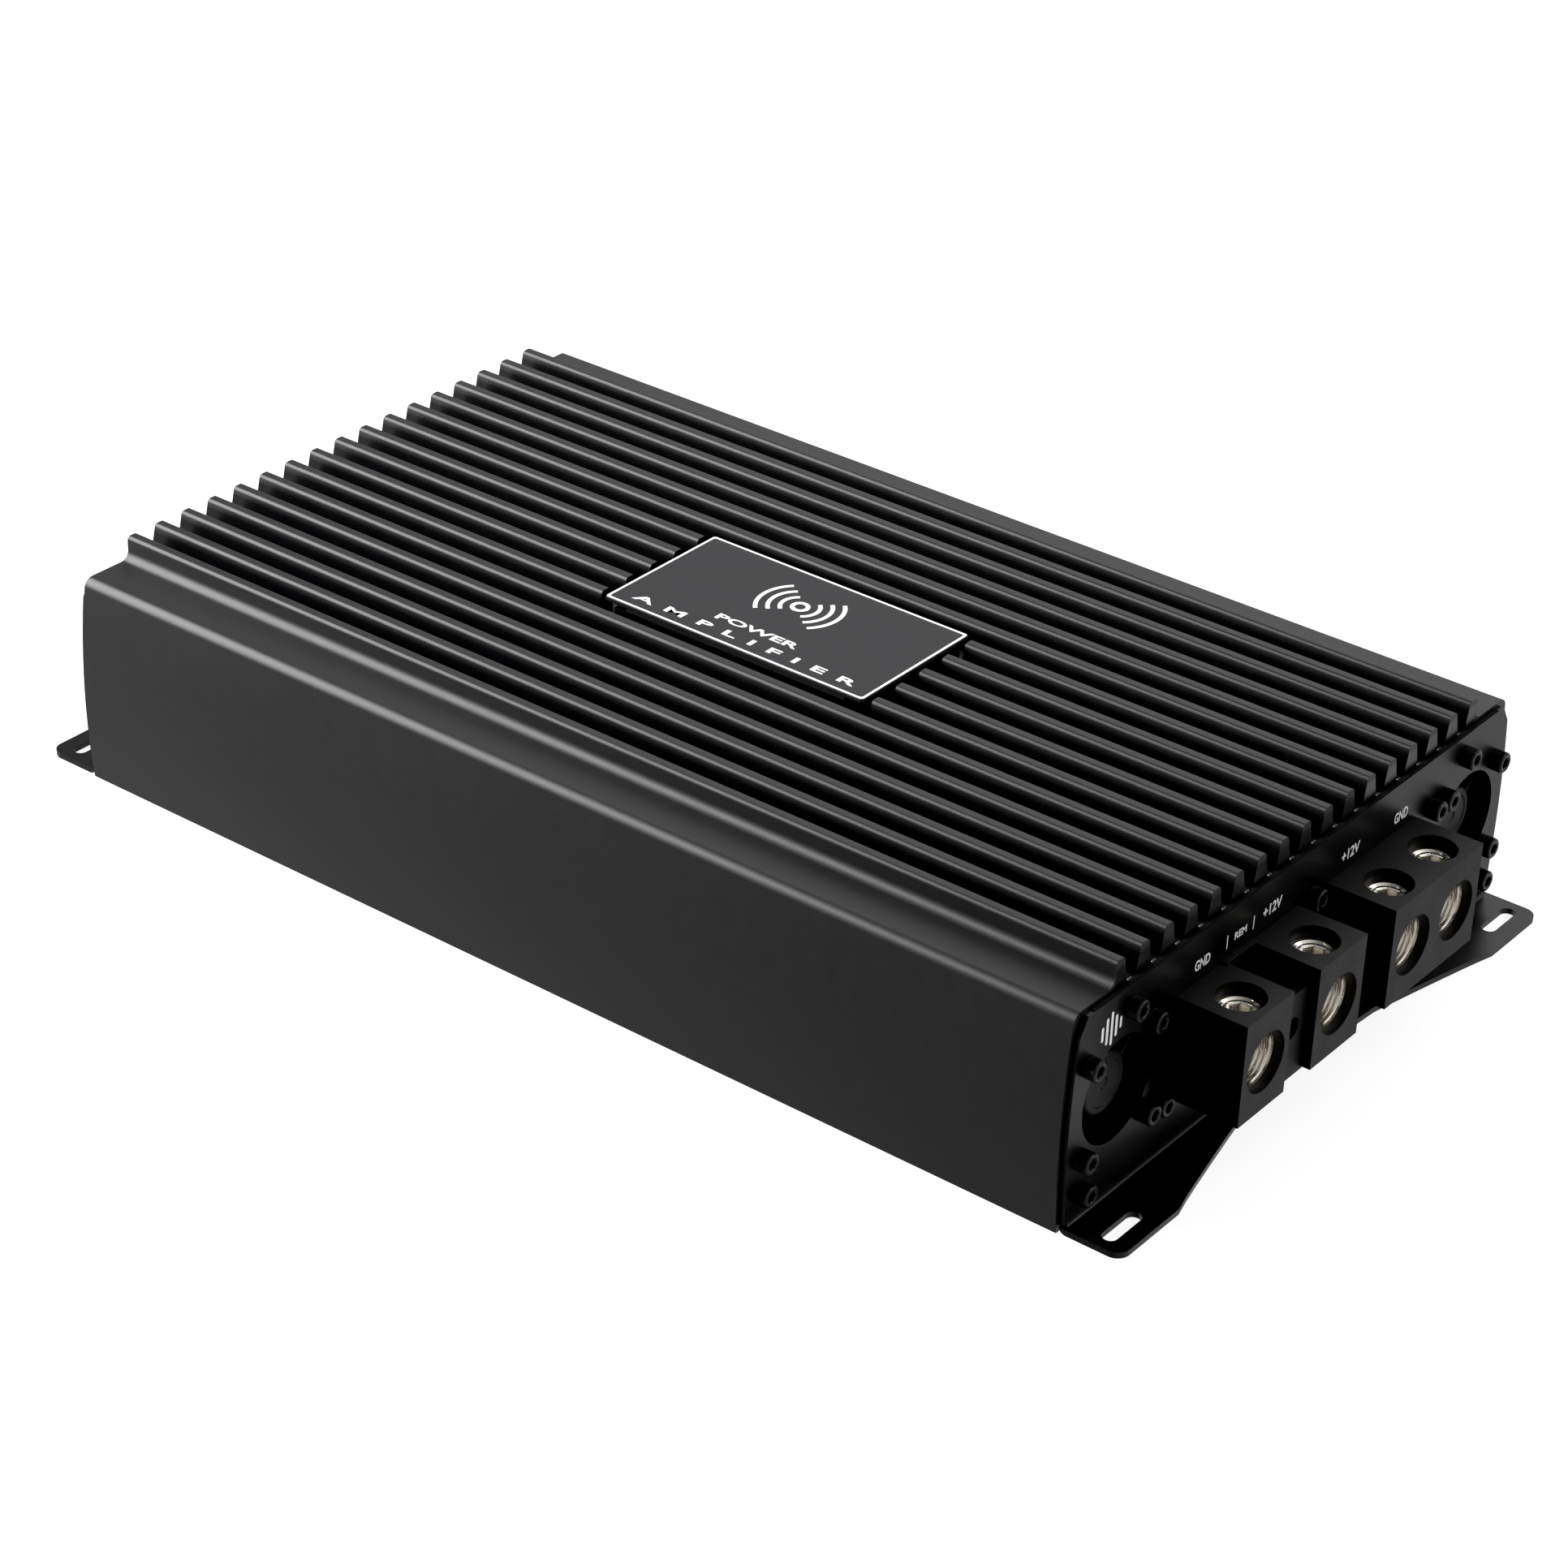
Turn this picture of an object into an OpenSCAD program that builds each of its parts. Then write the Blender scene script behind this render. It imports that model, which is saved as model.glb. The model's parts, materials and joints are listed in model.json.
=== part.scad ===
// Two-fan car audio power amplifier: finned extrusion, sheet-metal end plates, clamp terminals.
// X runs along the fins with the power terminals at +X, Y across, Z up. Origin: bottom centre.

/* [Heatsink] */
// Length of the extrusion along X
heatsink_length = 394; // [300:2:460]
// Greatest half width of the bulged side walls
side_half_width = 123.6; // [121:0.2:128]
// Height of the flat shoulder beside the fins
shoulder_z = 74.4; // [73.6:0.1:75.5]
// Radius of the rounded top corner
corner_radius = 3.5; // [2:0.5:5]
// Radius of the side wall's bulge
bulge_radius = 289; // [200:1:400]
// Number of cooling fins on top
fin_count = 17; // [17:1:17]
// Distance between fins
fin_pitch = 12.35; // [12:0.05:12.6]
// Height of the fin tops
fin_top_z = 82.5; // [80:0.5:86]
// Height of the groove floors
groove_floor_z = 72.8; // [72:0.1:73.5]
// Fin width at the top
fin_top_width = 4.6; // [3.6:0.1:5]
// Fin width at the root
fin_root_width = 8.2; // [7:0.1:9]
// Radius of the fin's crest edges
crest_radius = 1.4; // [0.6:0.1:1.7]
// Radius of the scoop beside the outer fins
scoop_radius = 3.3; // [2:0.1:4]

/* [Inner walls] */
// Height of the cavity's ceiling
ceiling_z = 67.3; // [66:0.1:68]
// Half width of the cavity
cavity_half_width = 118.8; // [118.7:0.1:119.2]
// Inner rib's face towards the circuit board
rib_inner_y = 73; // [73:0.1:73]
// Thickness of the inner ribs
rib_thickness = 4; // [3.6:0.1:4]

/* [End plates] */
// Sheet thickness of the end plates
plate_thickness = 2; // [1.6:0.1:2]
// Inner radius of the bend between plate and foot
bend_radius = 1.2; // [0.6:0.1:1.5]
// Height of the end plates
plate_top_z = 73; // [72:0.1:73.4]
// Half width of the end plates at the bulge
plate_half_width = 122.1; // [121:0.1:122.5]
// Reach of the mounting tabs beyond the plate's outer face
tab_reach = 20; // [18:0.5:22]
// Half width over the mounting tabs
tab_half_width = 121; // [119:0.5:122]
// Width of a mounting slot
slot_width = 5; // [4:0.5:6]
// Length of a mounting slot, end to end
slot_length = 17; // [12:0.5:18]
// Distance of a mounting slot from the plate's outer face
slot_offset = 12; // [11:0.5:13]
// Distance of a mounting slot from the centre line
slot_y = 108.7; // [106:0.1:110]

/* [Power terminals] */
// Reach of the terminal blocks beyond the end plate
block_reach = 24.5; // [24:0.5:26]
// Height of the terminal blocks' top faces
block_top_z = 56.3; // [56:0.1:58]
// Height of the terminal blocks' undersides
block_bottom_z = 21; // [20:0.5:22]
// Height of the cable bores
cable_z = 38; // [38:0.5:38]
// Radius of the cable bore in the metal
cable_bore_radius = 8.6; // [8:0.1:8.6]
// Radius of the cable entry in the plastic
cable_entry_radius = 10; // [9.5:0.1:10.2]
// Depth of the metal cable bore
cable_bore_depth = 17; // [14:0.5:17]
// Radius of the clamp screws
clamp_screw_radius = 5.6; // [5:0.1:5.7]
// Radius of the screw opening in the plastic
clamp_entry_radius = 7.9; // [7:0.1:8.2]

/* [Fans] */
// Side of the square fan frames
fan_size = 40; // [40:1:40]
// Depth of the fans
fan_depth = 20; // [16:1:20]
// Distance of the fans from the centre line
fan_y = 98.5; // [98.5:0.1:98.5]
// Height of the fans' axes
fan_z = 39; // [38.5:0.1:39.5]
// Distance of the fan screws from the axis
fan_hole_offset = 16; // [16:0.1:16]
// Radius of the fan opening in the end plate
fan_opening_radius = 17.4; // [16:0.1:17.4]
// Number of blades on a rotor
blade_count = 7; // [5:1:9]

/* [Nameplate] */
// Length of the nameplate along X
nameplate_length = 104.8; // [90:0.1:110]
// Width of the nameplate
nameplate_width = 56.8; // [50:0.1:58]
// Thickness of the nameplate
nameplate_thickness = 1.6; // [1:0.1:2]
// Gap around the nameplate in its pocket
nameplate_gap = 2.5; // [1:0.1:3]

/* [Signal end] */
// Distance between loudspeaker terminals
speaker_pitch = 13; // [13:0.1:13.5]
// Radius of the loudspeaker cable bores
speaker_bore_radius = 4.2; // [3:0.1:4.2]
// Outer radius of the phono sockets
phono_radius = 4.15; // [4.1:0.05:4.2]
// Radius of the control knobs
knob_radius = 5.5; // [4.5:0.1:6]
// Travel of the slide switches
switch_travel = 3; // [2:0.1:3]

/* [Circuit board] */
// Half width of the main circuit board
board_half_width = 71.5; // [71:0.1:72]
// Half length of the main circuit board
board_half_length = 190; // [188:1:190]
// Height of the main circuit board's underside
board_z = 12; // [11:0.5:12]

/* [Hidden] */
$fn = 64;

// Ends and heights shared by several parts
end_x = heatsink_length / 2;
plate_x = end_x + plate_thickness;
block_x = plate_x + block_reach;
fit_gap = 0.05;
cut = 1;

// Side wall: an arc tangent to the rounded top corner
bulge_z = 34;
bulge_y = side_half_width - bulge_radius;
corner_z = shoulder_z - corner_radius;
corner_rise = corner_z - bulge_z;
corner_y = bulge_y + sqrt(pow(bulge_radius - corner_radius, 2) - pow(corner_rise, 2));
tangent_angle = asin(corner_rise / (bulge_radius - corner_radius));
foot_angle = -asin(bulge_z / bulge_radius);

// Fins
outer_fin = (fin_count - 1) / 2;
outer_fin_y = outer_fin * fin_pitch;
crest_half = fin_top_width / 2;
scoop_y = outer_fin_y + crest_half + scoop_radius;

// Screw ports that run the length of the extrusion
port_radius = 2;
port_wall_radius = 4;
deck_port = [94, 65];
foot_port = [113.5, 11];
rib_port_y = rib_inner_y + rib_thickness / 2;
rib_port_z = [22, 54.6];
centre_port = [4, 55.5];

// Machine screws
screw_radius = 1.95;
screw_hole_radius = 2.2;
head_radius = 3.5;
head_height = 4.3;
head_socket_radius = 1.9;
small_screw_radius = 1.2;

// Screws seen on the end plates, as [y, z]
corner_screws = [
  [-deck_port[0], deck_port[1]], [deck_port[0], deck_port[1]],
  [-foot_port[0], foot_port[1]], [foot_port[0], foot_port[1]]
];
power_screw_places = concat(
  corner_screws,
  [[-rib_port_y, rib_port_z[0]], [rib_port_y, rib_port_z[1]], centre_port]
);
control_screw_places = concat(
  corner_screws,
  [for (side = [-1, 1]) for (z = rib_port_z) [side * rib_port_y, z]]
);

// Metal inserts of the power terminals
insert_front_x = block_x - 3;
insert_back_x = plate_x + 1.5;
insert_half_width = 10.5;
insert_top_z = block_top_z - 4.2;
insert_bottom_z = 24.5;
clamp_screw_x = plate_x + 14;
clamp_screw_length = 5.2;
clamp_socket_radius = 3.46;
clamp_rim = 0.8;
tongue_half_width = 6;
tongue_top_z = 28.5;
tongue_end_x = 182;
ground_a_y = -57.5;
positive_a_y = -17.2;
positive_b_y = 25.5;
ground_b_y = 51.5;

// Remote turn-on terminal, the narrow one between the two large ones
remote_y = -37.6;
remote_front_x = plate_x + 21;
remote_top_z = 50;
remote_insert_top_z = 46.2;
remote_insert_half_width = 4.6;
remote_bore_radius = 3;
remote_entry_radius = 3.7;
remote_screw_radius = 1.95;
remote_screw_x = plate_x + 15;

// Loudspeaker terminals at the signal end
speaker_y0 = 16.5;
speaker_z = 33;
speaker_top_z = 45;
speaker_bottom_z = 22.5;
speaker_insert_top_z = 42;
speaker_insert_half_width = 5.3;
speaker_screw_radius = 2.5;
speaker_screw_x = plate_x + 15;
speaker_places = [for (i = [0:3]) speaker_y0 + i * speaker_pitch];

// Signal end controls, as [y, z]
phono_places = [for (y = [-20, -5]) for (z = [26, 42]) [y, z]];
knob_places = [[-60, 48], [-42, 48], [-60, 28], [-42, 28]];
phase_switch_place = [-20, 59];
mode_switch_place = [-42, 62.5];
socket_place = [30, 57];
light_places = [[-3, 61], [-8, 61]];
vent_slots = 5;
vent_pitch = 7;
vent_slot_width = 4.4;
vent_radius = 17.4;

// Board and what stands on it
board_top_z = board_z + 1.6;
standoff_places = [for (x = [-170, -88, 0, 88, 172]) for (y = [-12, 12]) [x, y]];
transistor_places = [for (i = [0:14]) -147 + i * 21];
input_capacitor_places = [for (x = [164, 145]) for (y = [-54, -36, 36, 54]) [x, y]];
rail_capacitor_places = [for (x = [24, 0, -24]) for (y = [-50, -27, 27, 50]) [x, y]];
transformer_places = [for (x = [106, 60]) for (y = [-38, 38]) [x, y]];
inductor_places = [[-66, -36], [-66, 36]];
base_screw_places = [for (x = [-180, -60, 60, 180]) for (side = [-1, 1]) [x, side * foot_port[0]]];

function arc_points(cy, cz, r, a0, a1, steps) =
  [for (i = [0:steps]) let (a = a0 + (a1 - a0) * i / steps) [cy + r * cos(a), cz + r * sin(a)]];

function mirrored(points) = [for (i = [len(points) - 1:-1:0]) [-points[i][0], points[i][1]]];

function crest_points(y) = concat(
  arc_points(y + crest_half - crest_radius, fin_top_z - crest_radius, crest_radius, 0, 90, 6),
  arc_points(y - crest_half + crest_radius, fin_top_z - crest_radius, crest_radius, 90, 180, 6)
);

function groove_points(y) = [
  [y + (fin_pitch - fin_root_width) / 2, groove_floor_z],
  [y - (fin_pitch - fin_root_width) / 2, groove_floor_z]
];

function fin_row_points() = [
  for (i = [outer_fin:-1:-outer_fin])
    for (p = concat(
      crest_points(i * fin_pitch),
      i > -outer_fin ? groove_points((i - 0.5) * fin_pitch) : []
    ))
      p
];

function side_points() = concat(
  arc_points(bulge_y, bulge_z, bulge_radius, foot_angle, tangent_angle, 12),
  arc_points(corner_y, corner_z, corner_radius, tangent_angle, 90, 10),
  arc_points(scoop_y, shoulder_z + scoop_radius, scoop_radius, 270, 180, 8)
);

// Places a flat shape in the Y-Z plane and gives it length along X
module along_x(x0, x1) {
  translate([x0, 0, 0])
    rotate([90, 0, 90])
      linear_extrude(x1 - x0)
        children();
}

module box(x0, x1, y0, y1, z0, z1) {
  translate([x0, y0, z0])
    cube([x1 - x0, y1 - y0, z1 - z0]);
}

module rod_x(x0, x1, y, z, r) {
  translate([x0, y, z])
    rotate([0, 90, 0])
      cylinder(h = x1 - x0, r = r);
}

module rod_z(x, y, z0, z1, r) {
  translate([x, y, z0])
    cylinder(h = z1 - z0, r = r);
}

module ring(r_in, r_out, h) {
  rotate_extrude()
    translate([r_in, 0])
      square([r_out - r_in, h]);
}

// Builds at the signal end what is drawn for the power end
module signal_end() {
  mirror([1, 0, 0])
    children();
}

// Socket head screw along X, its head's underside at x
module cap_screw(x, y, z, length) {
  difference() {
    union() {
      rod_x(x, x + head_height, y, z, head_radius);
      rod_x(x - length, x + cut, y, z, screw_radius);
    }
    translate([x + head_height - 2.4, y, z])
      rotate([0, 90, 0])
        cylinder(h = 3, r = head_socket_radius, $fn = 6);
  }
}

// Set screw along Z with a hexagon socket, its top at z
module set_screw(x, y, z, r, length, socket_r) {
  difference() {
    union() {
      rod_z(x, y, z - length, z - 0.5, r);
      rod_z(x, y, z - 0.6, z, r - 0.5);
    }
    translate([x, y, z - length * 0.6])
      cylinder(h = length, r = socket_r, $fn = 6);
  }
}

module heatsink_profile() {
  difference() {
    polygon(concat(side_points(), fin_row_points(), mirrored(side_points())));
    difference() {
      translate([-cavity_half_width, -cut])
        square([2 * cavity_half_width, ceiling_z + cut]);
      for (side = [-1, 1]) {
        translate([side * rib_port_y - rib_thickness / 2, 2])
          square([rib_thickness, ceiling_z]);
        for (z = rib_port_z)
          translate([side * rib_port_y, z])
            circle(r = 3.2);
        translate([side * (foot_port[0] + 2) - 7, 1.7])
          square([14, 14.3]);
        translate([side * deck_port[0], deck_port[1]])
          circle(r = port_wall_radius);
        for (step = [-1, 1])
          translate([side * (deck_port[0] + step * 11) - 0.9, 61])
            square([1.8, 10]);
      }
      translate([centre_port[0] - 3.5, centre_port[1] - 3.5])
        square([7, 20]);
    }
    for (p = concat(corner_screws, [centre_port]))
      translate(p)
        circle(r = port_radius);
    for (side = [-1, 1])
      for (z = rib_port_z)
        translate([side * rib_port_y, z])
          circle(r = port_radius);
  }
}

module heatsink() {
  pocket_x = nameplate_length / 2 + nameplate_gap;
  pocket_y = 2.5 * fin_pitch;
  trench = 6;
  color([0.09, 0.09, 0.1])
    difference() {
      along_x(-end_x, end_x)
        heatsink_profile();
      box(-pocket_x, pocket_x, -pocket_y, pocket_y, fin_top_z - 3.5, fin_top_z + cut);
      for (side = [-1, 1])
        translate([side * (pocket_x - trench / 2), 0, 0])
          box(-trench / 2, trench / 2, -pocket_y, pocket_y, groove_floor_z + 0.8, fin_top_z + cut);
      for (p = base_screw_places)
        rod_z(p[0], p[1], 0, 7.5, 1.5);
      for (side = [-1, 1])
        translate([172, side * rib_port_y, 17])
          cube([6, rib_thickness + 2, 6], center = true);
    }
}

module base_plate() {
  color([0.12, 0.12, 0.13])
    difference() {
      box(-end_x + 0.5, end_x - 0.5, -cavity_half_width + 0.3, cavity_half_width - 0.3, 0, 1.5);
      for (p = base_screw_places)
        translate([p[0], p[1], -fit_gap])
          cylinder(h = 1.6, r1 = 3.2, r2 = 1.6);
      for (p = standoff_places)
        rod_z(p[0], p[1], -cut, 2, 1.6);
    }
}

module base_screws() {
  color([0.15, 0.15, 0.16])
    for (p = base_screw_places)
      difference() {
        union() {
          translate([p[0], p[1], 0.1])
            cylinder(h = 1.4, r1 = 2.9, r2 = 1.4);
          rod_z(p[0], p[1], 1.4, 7, 1.4);
        }
        translate([p[0], p[1], 0])
          cylinder(h = 1.1, r = 1.1, $fn = 6);
      }
}

// Upright part of an end plate, slightly smaller than the extrusion
module plate_outline() {
  chamfer = [3.6, 6];
  inset_radius = bulge_radius - (side_half_width - plate_half_width);
  top_angle = asin((plate_top_z - chamfer[1] - bulge_z) / inset_radius);
  side = concat(
    arc_points(bulge_y, bulge_z, inset_radius, -asin(bulge_z / inset_radius), top_angle, 12),
    [[bulge_y + inset_radius * cos(top_angle) - chamfer[0], plate_top_z]]
  );
  polygon(concat(side, mirrored(side)));
}

// Foot of an end plate: two slotted tabs joined by a waist that curves in
module foot_outline() {
  tab_x = plate_x + tab_reach;
  tab_radius = 4.5;
  waist_x = plate_x + 7;
  kink_y = 91;
  half = concat(
    [[end_x, -tab_half_width]],
    [for (p = arc_points(tab_x - tab_radius, -tab_half_width + tab_radius, tab_radius, 270, 360, 8)) p],
    [[tab_x, -kink_y]],
    [for (i = [1:8]) let (t = i / 8)
      [tab_x - (tab_x - waist_x - 1) * pow(t, 0.92), -kink_y + (kink_y - 38) * t]],
    [[waist_x, -22]]
  );
  difference() {
    polygon(concat(half, [for (i = [len(half) - 1:-1:0]) [half[i][0], -half[i][1]]]));
    for (side = [-1, 1]) {
      translate([plate_x + slot_offset, side * slot_y])
        square([slot_width, slot_length - slot_width], center = true);
      for (tip = [-1, 1])
        translate([plate_x + slot_offset, side * slot_y + tip * (slot_length - slot_width) / 2])
          circle(r = slot_width / 2);
    }
  }
}

// Gives length along Y to a flat shape drawn in the X-Z plane
module along_y(half_length) {
  translate([0, half_length, 0])
    rotate([90, 0, 0])
      linear_extrude(2 * half_length)
        children();
}

// Sheet bent at the bottom, round inside and outside the bend
module bent_plate() {
  outer_radius = bend_radius + plate_thickness;
  difference() {
    union() {
      along_x(end_x, plate_x)
        plate_outline();
      linear_extrude(plate_thickness)
        foot_outline();
      along_y(119.5)
        difference() {
          translate([plate_x - 0.5, plate_thickness - 0.5])
            square(bend_radius + 0.5);
          translate([plate_x + bend_radius, plate_thickness + bend_radius])
            circle(r = bend_radius);
        }
    }
    along_y(tab_half_width + cut)
      difference() {
        translate([end_x - cut, -cut])
          square(outer_radius + cut);
        translate([end_x + outer_radius, outer_radius])
          circle(r = outer_radius);
      }
  }
}

module tongue_opening(y, half_width) {
  box(end_x - cut, plate_x + cut, y - half_width, y + half_width, insert_bottom_z - 1, tongue_top_z + 1);
}

module power_end_plate() {
  color([0.07, 0.07, 0.08])
    difference() {
      bent_plate();
      for (side = [-1, 1]) {
        rod_x(end_x - cut, plate_x + cut, side * fan_y, fan_z, fan_opening_radius);
        for (dy = [-1, 1])
          for (dz = [-1, 1])
            rod_x(end_x - cut, plate_x + cut, side * fan_y + dy * fan_hole_offset,
              fan_z + dz * fan_hole_offset, screw_hole_radius);
      }
      for (p = power_screw_places)
        rod_x(end_x - cut, plate_x + cut, p[0], p[1], screw_hole_radius);
      for (y = [ground_a_y, positive_a_y, positive_b_y, ground_b_y])
        tongue_opening(y, tongue_half_width + 1);
      tongue_opening(remote_y, 3);
      for (p = power_block_screws)
        rod_x(end_x - cut, plate_x + cut, p[0], p[1], small_screw_radius + 0.2);
    }
}

module control_end_plate() {
  signal_end()
    color([0.07, 0.07, 0.08])
      difference() {
        bent_plate();
        for (side = [-1, 1])
          for (i = [0:vent_slots - 1])
            vent_slot(side * fan_y + (i - (vent_slots - 1) / 2) * vent_pitch,
              sqrt(pow(vent_radius, 2) - pow((i - (vent_slots - 1) / 2) * vent_pitch, 2)));
        for (p = control_screw_places)
          rod_x(end_x - cut, plate_x + cut, p[0], p[1], screw_hole_radius);
        for (y = speaker_places)
          box(end_x - cut, plate_x + cut, y - 3.5, y + 3.5, speaker_bottom_z + 1.5, speaker_bottom_z + 6);
        for (p = speaker_block_screws)
          rod_x(end_x - cut, plate_x + cut, p[0], p[1], small_screw_radius + 0.2);
        for (p = phono_places)
          rod_x(end_x - cut, plate_x + cut, p[0], p[1], 5.4);
        for (p = knob_places)
          rod_x(end_x - cut, plate_x + cut, p[0], p[1], 3.7);
        for (p = [phase_switch_place, mode_switch_place])
          box(end_x - cut, plate_x + cut, p[0] - 3.8, p[0] + 3.8, p[1] - 2, p[1] + 2);
        box(end_x - cut, plate_x + cut, socket_place[0] - 5.8, socket_place[0] + 5.8,
          socket_place[1] - 4.3, socket_place[1] + 4.3);
        for (p = light_places)
          rod_x(end_x - cut, plate_x + cut, p[0], p[1], 1.6);
      }
}

module vent_slot(y, half_height) {
  r = vent_slot_width / 2;
  union() {
    box(end_x - cut, plate_x + cut, y - r, y + r, fan_z - half_height + r, fan_z + half_height - r);
    for (side = [-1, 1])
      rod_x(end_x - cut, plate_x + cut, y, fan_z + side * (half_height - r), r);
  }
}

module nameplate() {
  corner_cut = 1;
  color([0.2, 0.2, 0.21])
    translate([0, 0, fin_top_z - nameplate_thickness])
      linear_extrude(nameplate_thickness)
        difference() {
          square([nameplate_length, nameplate_width], center = true);
          for (sx = [-1, 1])
            for (sy = [-1, 1])
              translate([sx * nameplate_length / 2, sy * nameplate_width / 2])
                rotate(45)
                  square(corner_cut, center = true);
        }
}

module nameplate_pad() {
  color([0.25, 0.25, 0.26])
    box(-nameplate_length / 2 + 8, nameplate_length / 2 - 8, -27, 27,
      fin_top_z - 3.5, fin_top_z - nameplate_thickness);
}

// Openings that a terminal block leaves around one metal insert
module insert_room(y) {
  box(plate_x - cut, insert_front_x, y - insert_half_width, y + insert_half_width,
    insert_bottom_z, insert_top_z);
  rod_x(insert_front_x - cut, block_x + cut, y, cable_z, cable_entry_radius);
  rod_z(clamp_screw_x, y, insert_top_z - cut, block_top_z + cut, clamp_entry_radius);
}

power_block_screws = [for (y = [-44.7, -30.3, 38.5]) for (z = [31, 46.5]) [y, z]];
speaker_block_screws = [for (y = [speaker_y0 - 0.5 * speaker_pitch, speaker_y0 + 3.5 * speaker_pitch])
  [y, speaker_z]];

module block_screw_holes(places, depth) {
  for (p = places)
    rod_x(plate_x - cut, plate_x + depth, p[0], p[1], small_screw_radius + fit_gap);
}

module triple_terminal_block() {
  color([0.1, 0.1, 0.11])
    difference() {
      union() {
        box(plate_x, block_x, -70, -45, block_bottom_z, block_top_z);
        box(plate_x, remote_front_x, -45.5, -29.8, block_bottom_z - 1, remote_top_z);
        box(plate_x, plate_x + 2, -46, -29, block_bottom_z, block_top_z + 0.7);
        box(plate_x, block_x, -30.3, -4, block_bottom_z, block_top_z);
      }
      insert_room(ground_a_y);
      insert_room(positive_a_y);
      box(plate_x - cut, remote_front_x - 2.5, remote_y - remote_insert_half_width,
        remote_y + remote_insert_half_width, insert_bottom_z, remote_insert_top_z);
      rod_x(remote_front_x - 3, remote_front_x + cut, remote_y, cable_z, remote_entry_radius);
      rod_z(remote_screw_x, remote_y, remote_insert_top_z - cut, remote_top_z + cut, 3.25);
      block_screw_holes([for (p = power_block_screws) if (p[0] < 0) p], 9);
    }
}

module double_terminal_block() {
  color([0.1, 0.1, 0.11])
    difference() {
      box(plate_x, block_x, 12.5, 64.5, block_bottom_z, block_top_z);
      insert_room(positive_b_y);
      insert_room(ground_b_y);
      block_screw_holes([for (p = power_block_screws) if (p[0] > 0) p], 9);
    }
}

// Plated metal insert: a blind cable bore, a threaded hole above it and a tongue to the board
module power_insert(y) {
  color([0.78, 0.75, 0.68])
    difference() {
      union() {
        box(insert_back_x, insert_front_x, y - insert_half_width + fit_gap,
          y + insert_half_width - fit_gap, insert_bottom_z + fit_gap, insert_top_z - fit_gap);
        box(tongue_end_x, insert_back_x + cut, y - tongue_half_width, y + tongue_half_width,
          insert_bottom_z + fit_gap, tongue_top_z);
        box(tongue_end_x, tongue_end_x + 4, y - tongue_half_width, y + tongue_half_width,
          board_top_z, insert_bottom_z + cut);
      }
      rod_x(insert_front_x - cable_bore_depth, insert_front_x + cut, y, cable_z, cable_bore_radius);
      rod_z(clamp_screw_x, y, cable_z, insert_top_z + cut, clamp_screw_radius + fit_gap);
      translate([clamp_screw_x, y, insert_top_z - fit_gap - clamp_rim])
        cylinder(h = clamp_rim, r1 = clamp_screw_radius + fit_gap, r2 = clamp_screw_radius + clamp_rim);
    }
}

module power_clamp_screw(y) {
  color([0.8, 0.77, 0.7])
    set_screw(clamp_screw_x, y, insert_top_z - 0.2, clamp_screw_radius, clamp_screw_length,
      clamp_socket_radius);
}

module remote_insert() {
  color([0.78, 0.75, 0.68])
    difference() {
      union() {
        box(insert_back_x, remote_front_x - 2.5, remote_y - remote_insert_half_width + fit_gap,
          remote_y + remote_insert_half_width - fit_gap, insert_bottom_z + 5, remote_insert_top_z - fit_gap);
        box(tongue_end_x, insert_back_x + 4, remote_y - 2, remote_y + 2, insert_bottom_z + 0.5, insert_bottom_z + 3);
        box(insert_back_x + 1, insert_back_x + 4, remote_y - 2, remote_y + 2, insert_bottom_z + 0.5, insert_bottom_z + 6);
        box(tongue_end_x, tongue_end_x + 2, remote_y - 2, remote_y + 2, board_top_z, insert_bottom_z + 2);
      }
      rod_x(remote_front_x - 13.5, remote_front_x, remote_y, cable_z, remote_bore_radius);
      rod_z(remote_screw_x, remote_y, cable_z, remote_top_z, remote_screw_radius + fit_gap);
    }
}

module remote_clamp_screw() {
  color([0.8, 0.77, 0.7])
    set_screw(remote_screw_x, remote_y, remote_insert_top_z - 0.2, remote_screw_radius, 5, 1.15);
}

module terminal_screws() {
  color([0.7, 0.7, 0.7]) {
    for (p = power_block_screws)
      small_screw(p, 8.5);
    signal_end()
      for (p = speaker_block_screws)
        small_screw(p, 8.5);
  }
}

// Pan head screw driven from inside the case into a terminal block
module small_screw(p, depth) {
  rod_x(end_x - 2, end_x, p[0], p[1], 2.3);
  rod_x(end_x - cut, plate_x + depth, p[0], p[1], small_screw_radius);
}

duct_radius = 18.6;
fan_back_x = end_x - fan_depth;
hub_radius = 10.4;
hub_front_x = end_x - 2;
base_disc_x = fan_back_x + 2.5;
shaft_radius = 1;

module fan_frames() {
  color([0.1, 0.1, 0.11])
    for (side = [-1, 1])
      fan_frame(side * fan_y);
}

module fan_frame(y) {
  half = fan_size / 2;
  wall = 3.5;
  difference() {
    union() {
      difference() {
        union() {
          box(fan_back_x, fan_back_x + wall, y - half, y + half, fan_z - half, fan_z + half);
          box(end_x - wall, end_x, y - half, y + half, fan_z - half, fan_z + half);
          rod_x(fan_back_x, end_x, y, fan_z, half - 0.1);
        }
        rod_x(fan_back_x - cut, end_x + cut, y, fan_z, duct_radius);
      }
      rod_x(fan_back_x, base_disc_x, y, fan_z, hub_radius);
      rod_x(base_disc_x - cut, end_x - 7, y, fan_z, 2.6);
      for (turn = [45:90:315])
        translate([0, y, fan_z])
          rotate([turn, 0, 0])
            box(fan_back_x, base_disc_x, -1.2, 1.2, hub_radius - 1, duct_radius + 0.5);
    }
    rod_x(fan_back_x + 1, end_x, y, fan_z, shaft_radius + fit_gap);
    for (dy = [-1, 1])
      for (dz = [-1, 1])
        rod_x(fan_back_x - cut, end_x + cut, y + dy * fan_hole_offset, fan_z + dz * fan_hole_offset, 2.1);
  }
}

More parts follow.
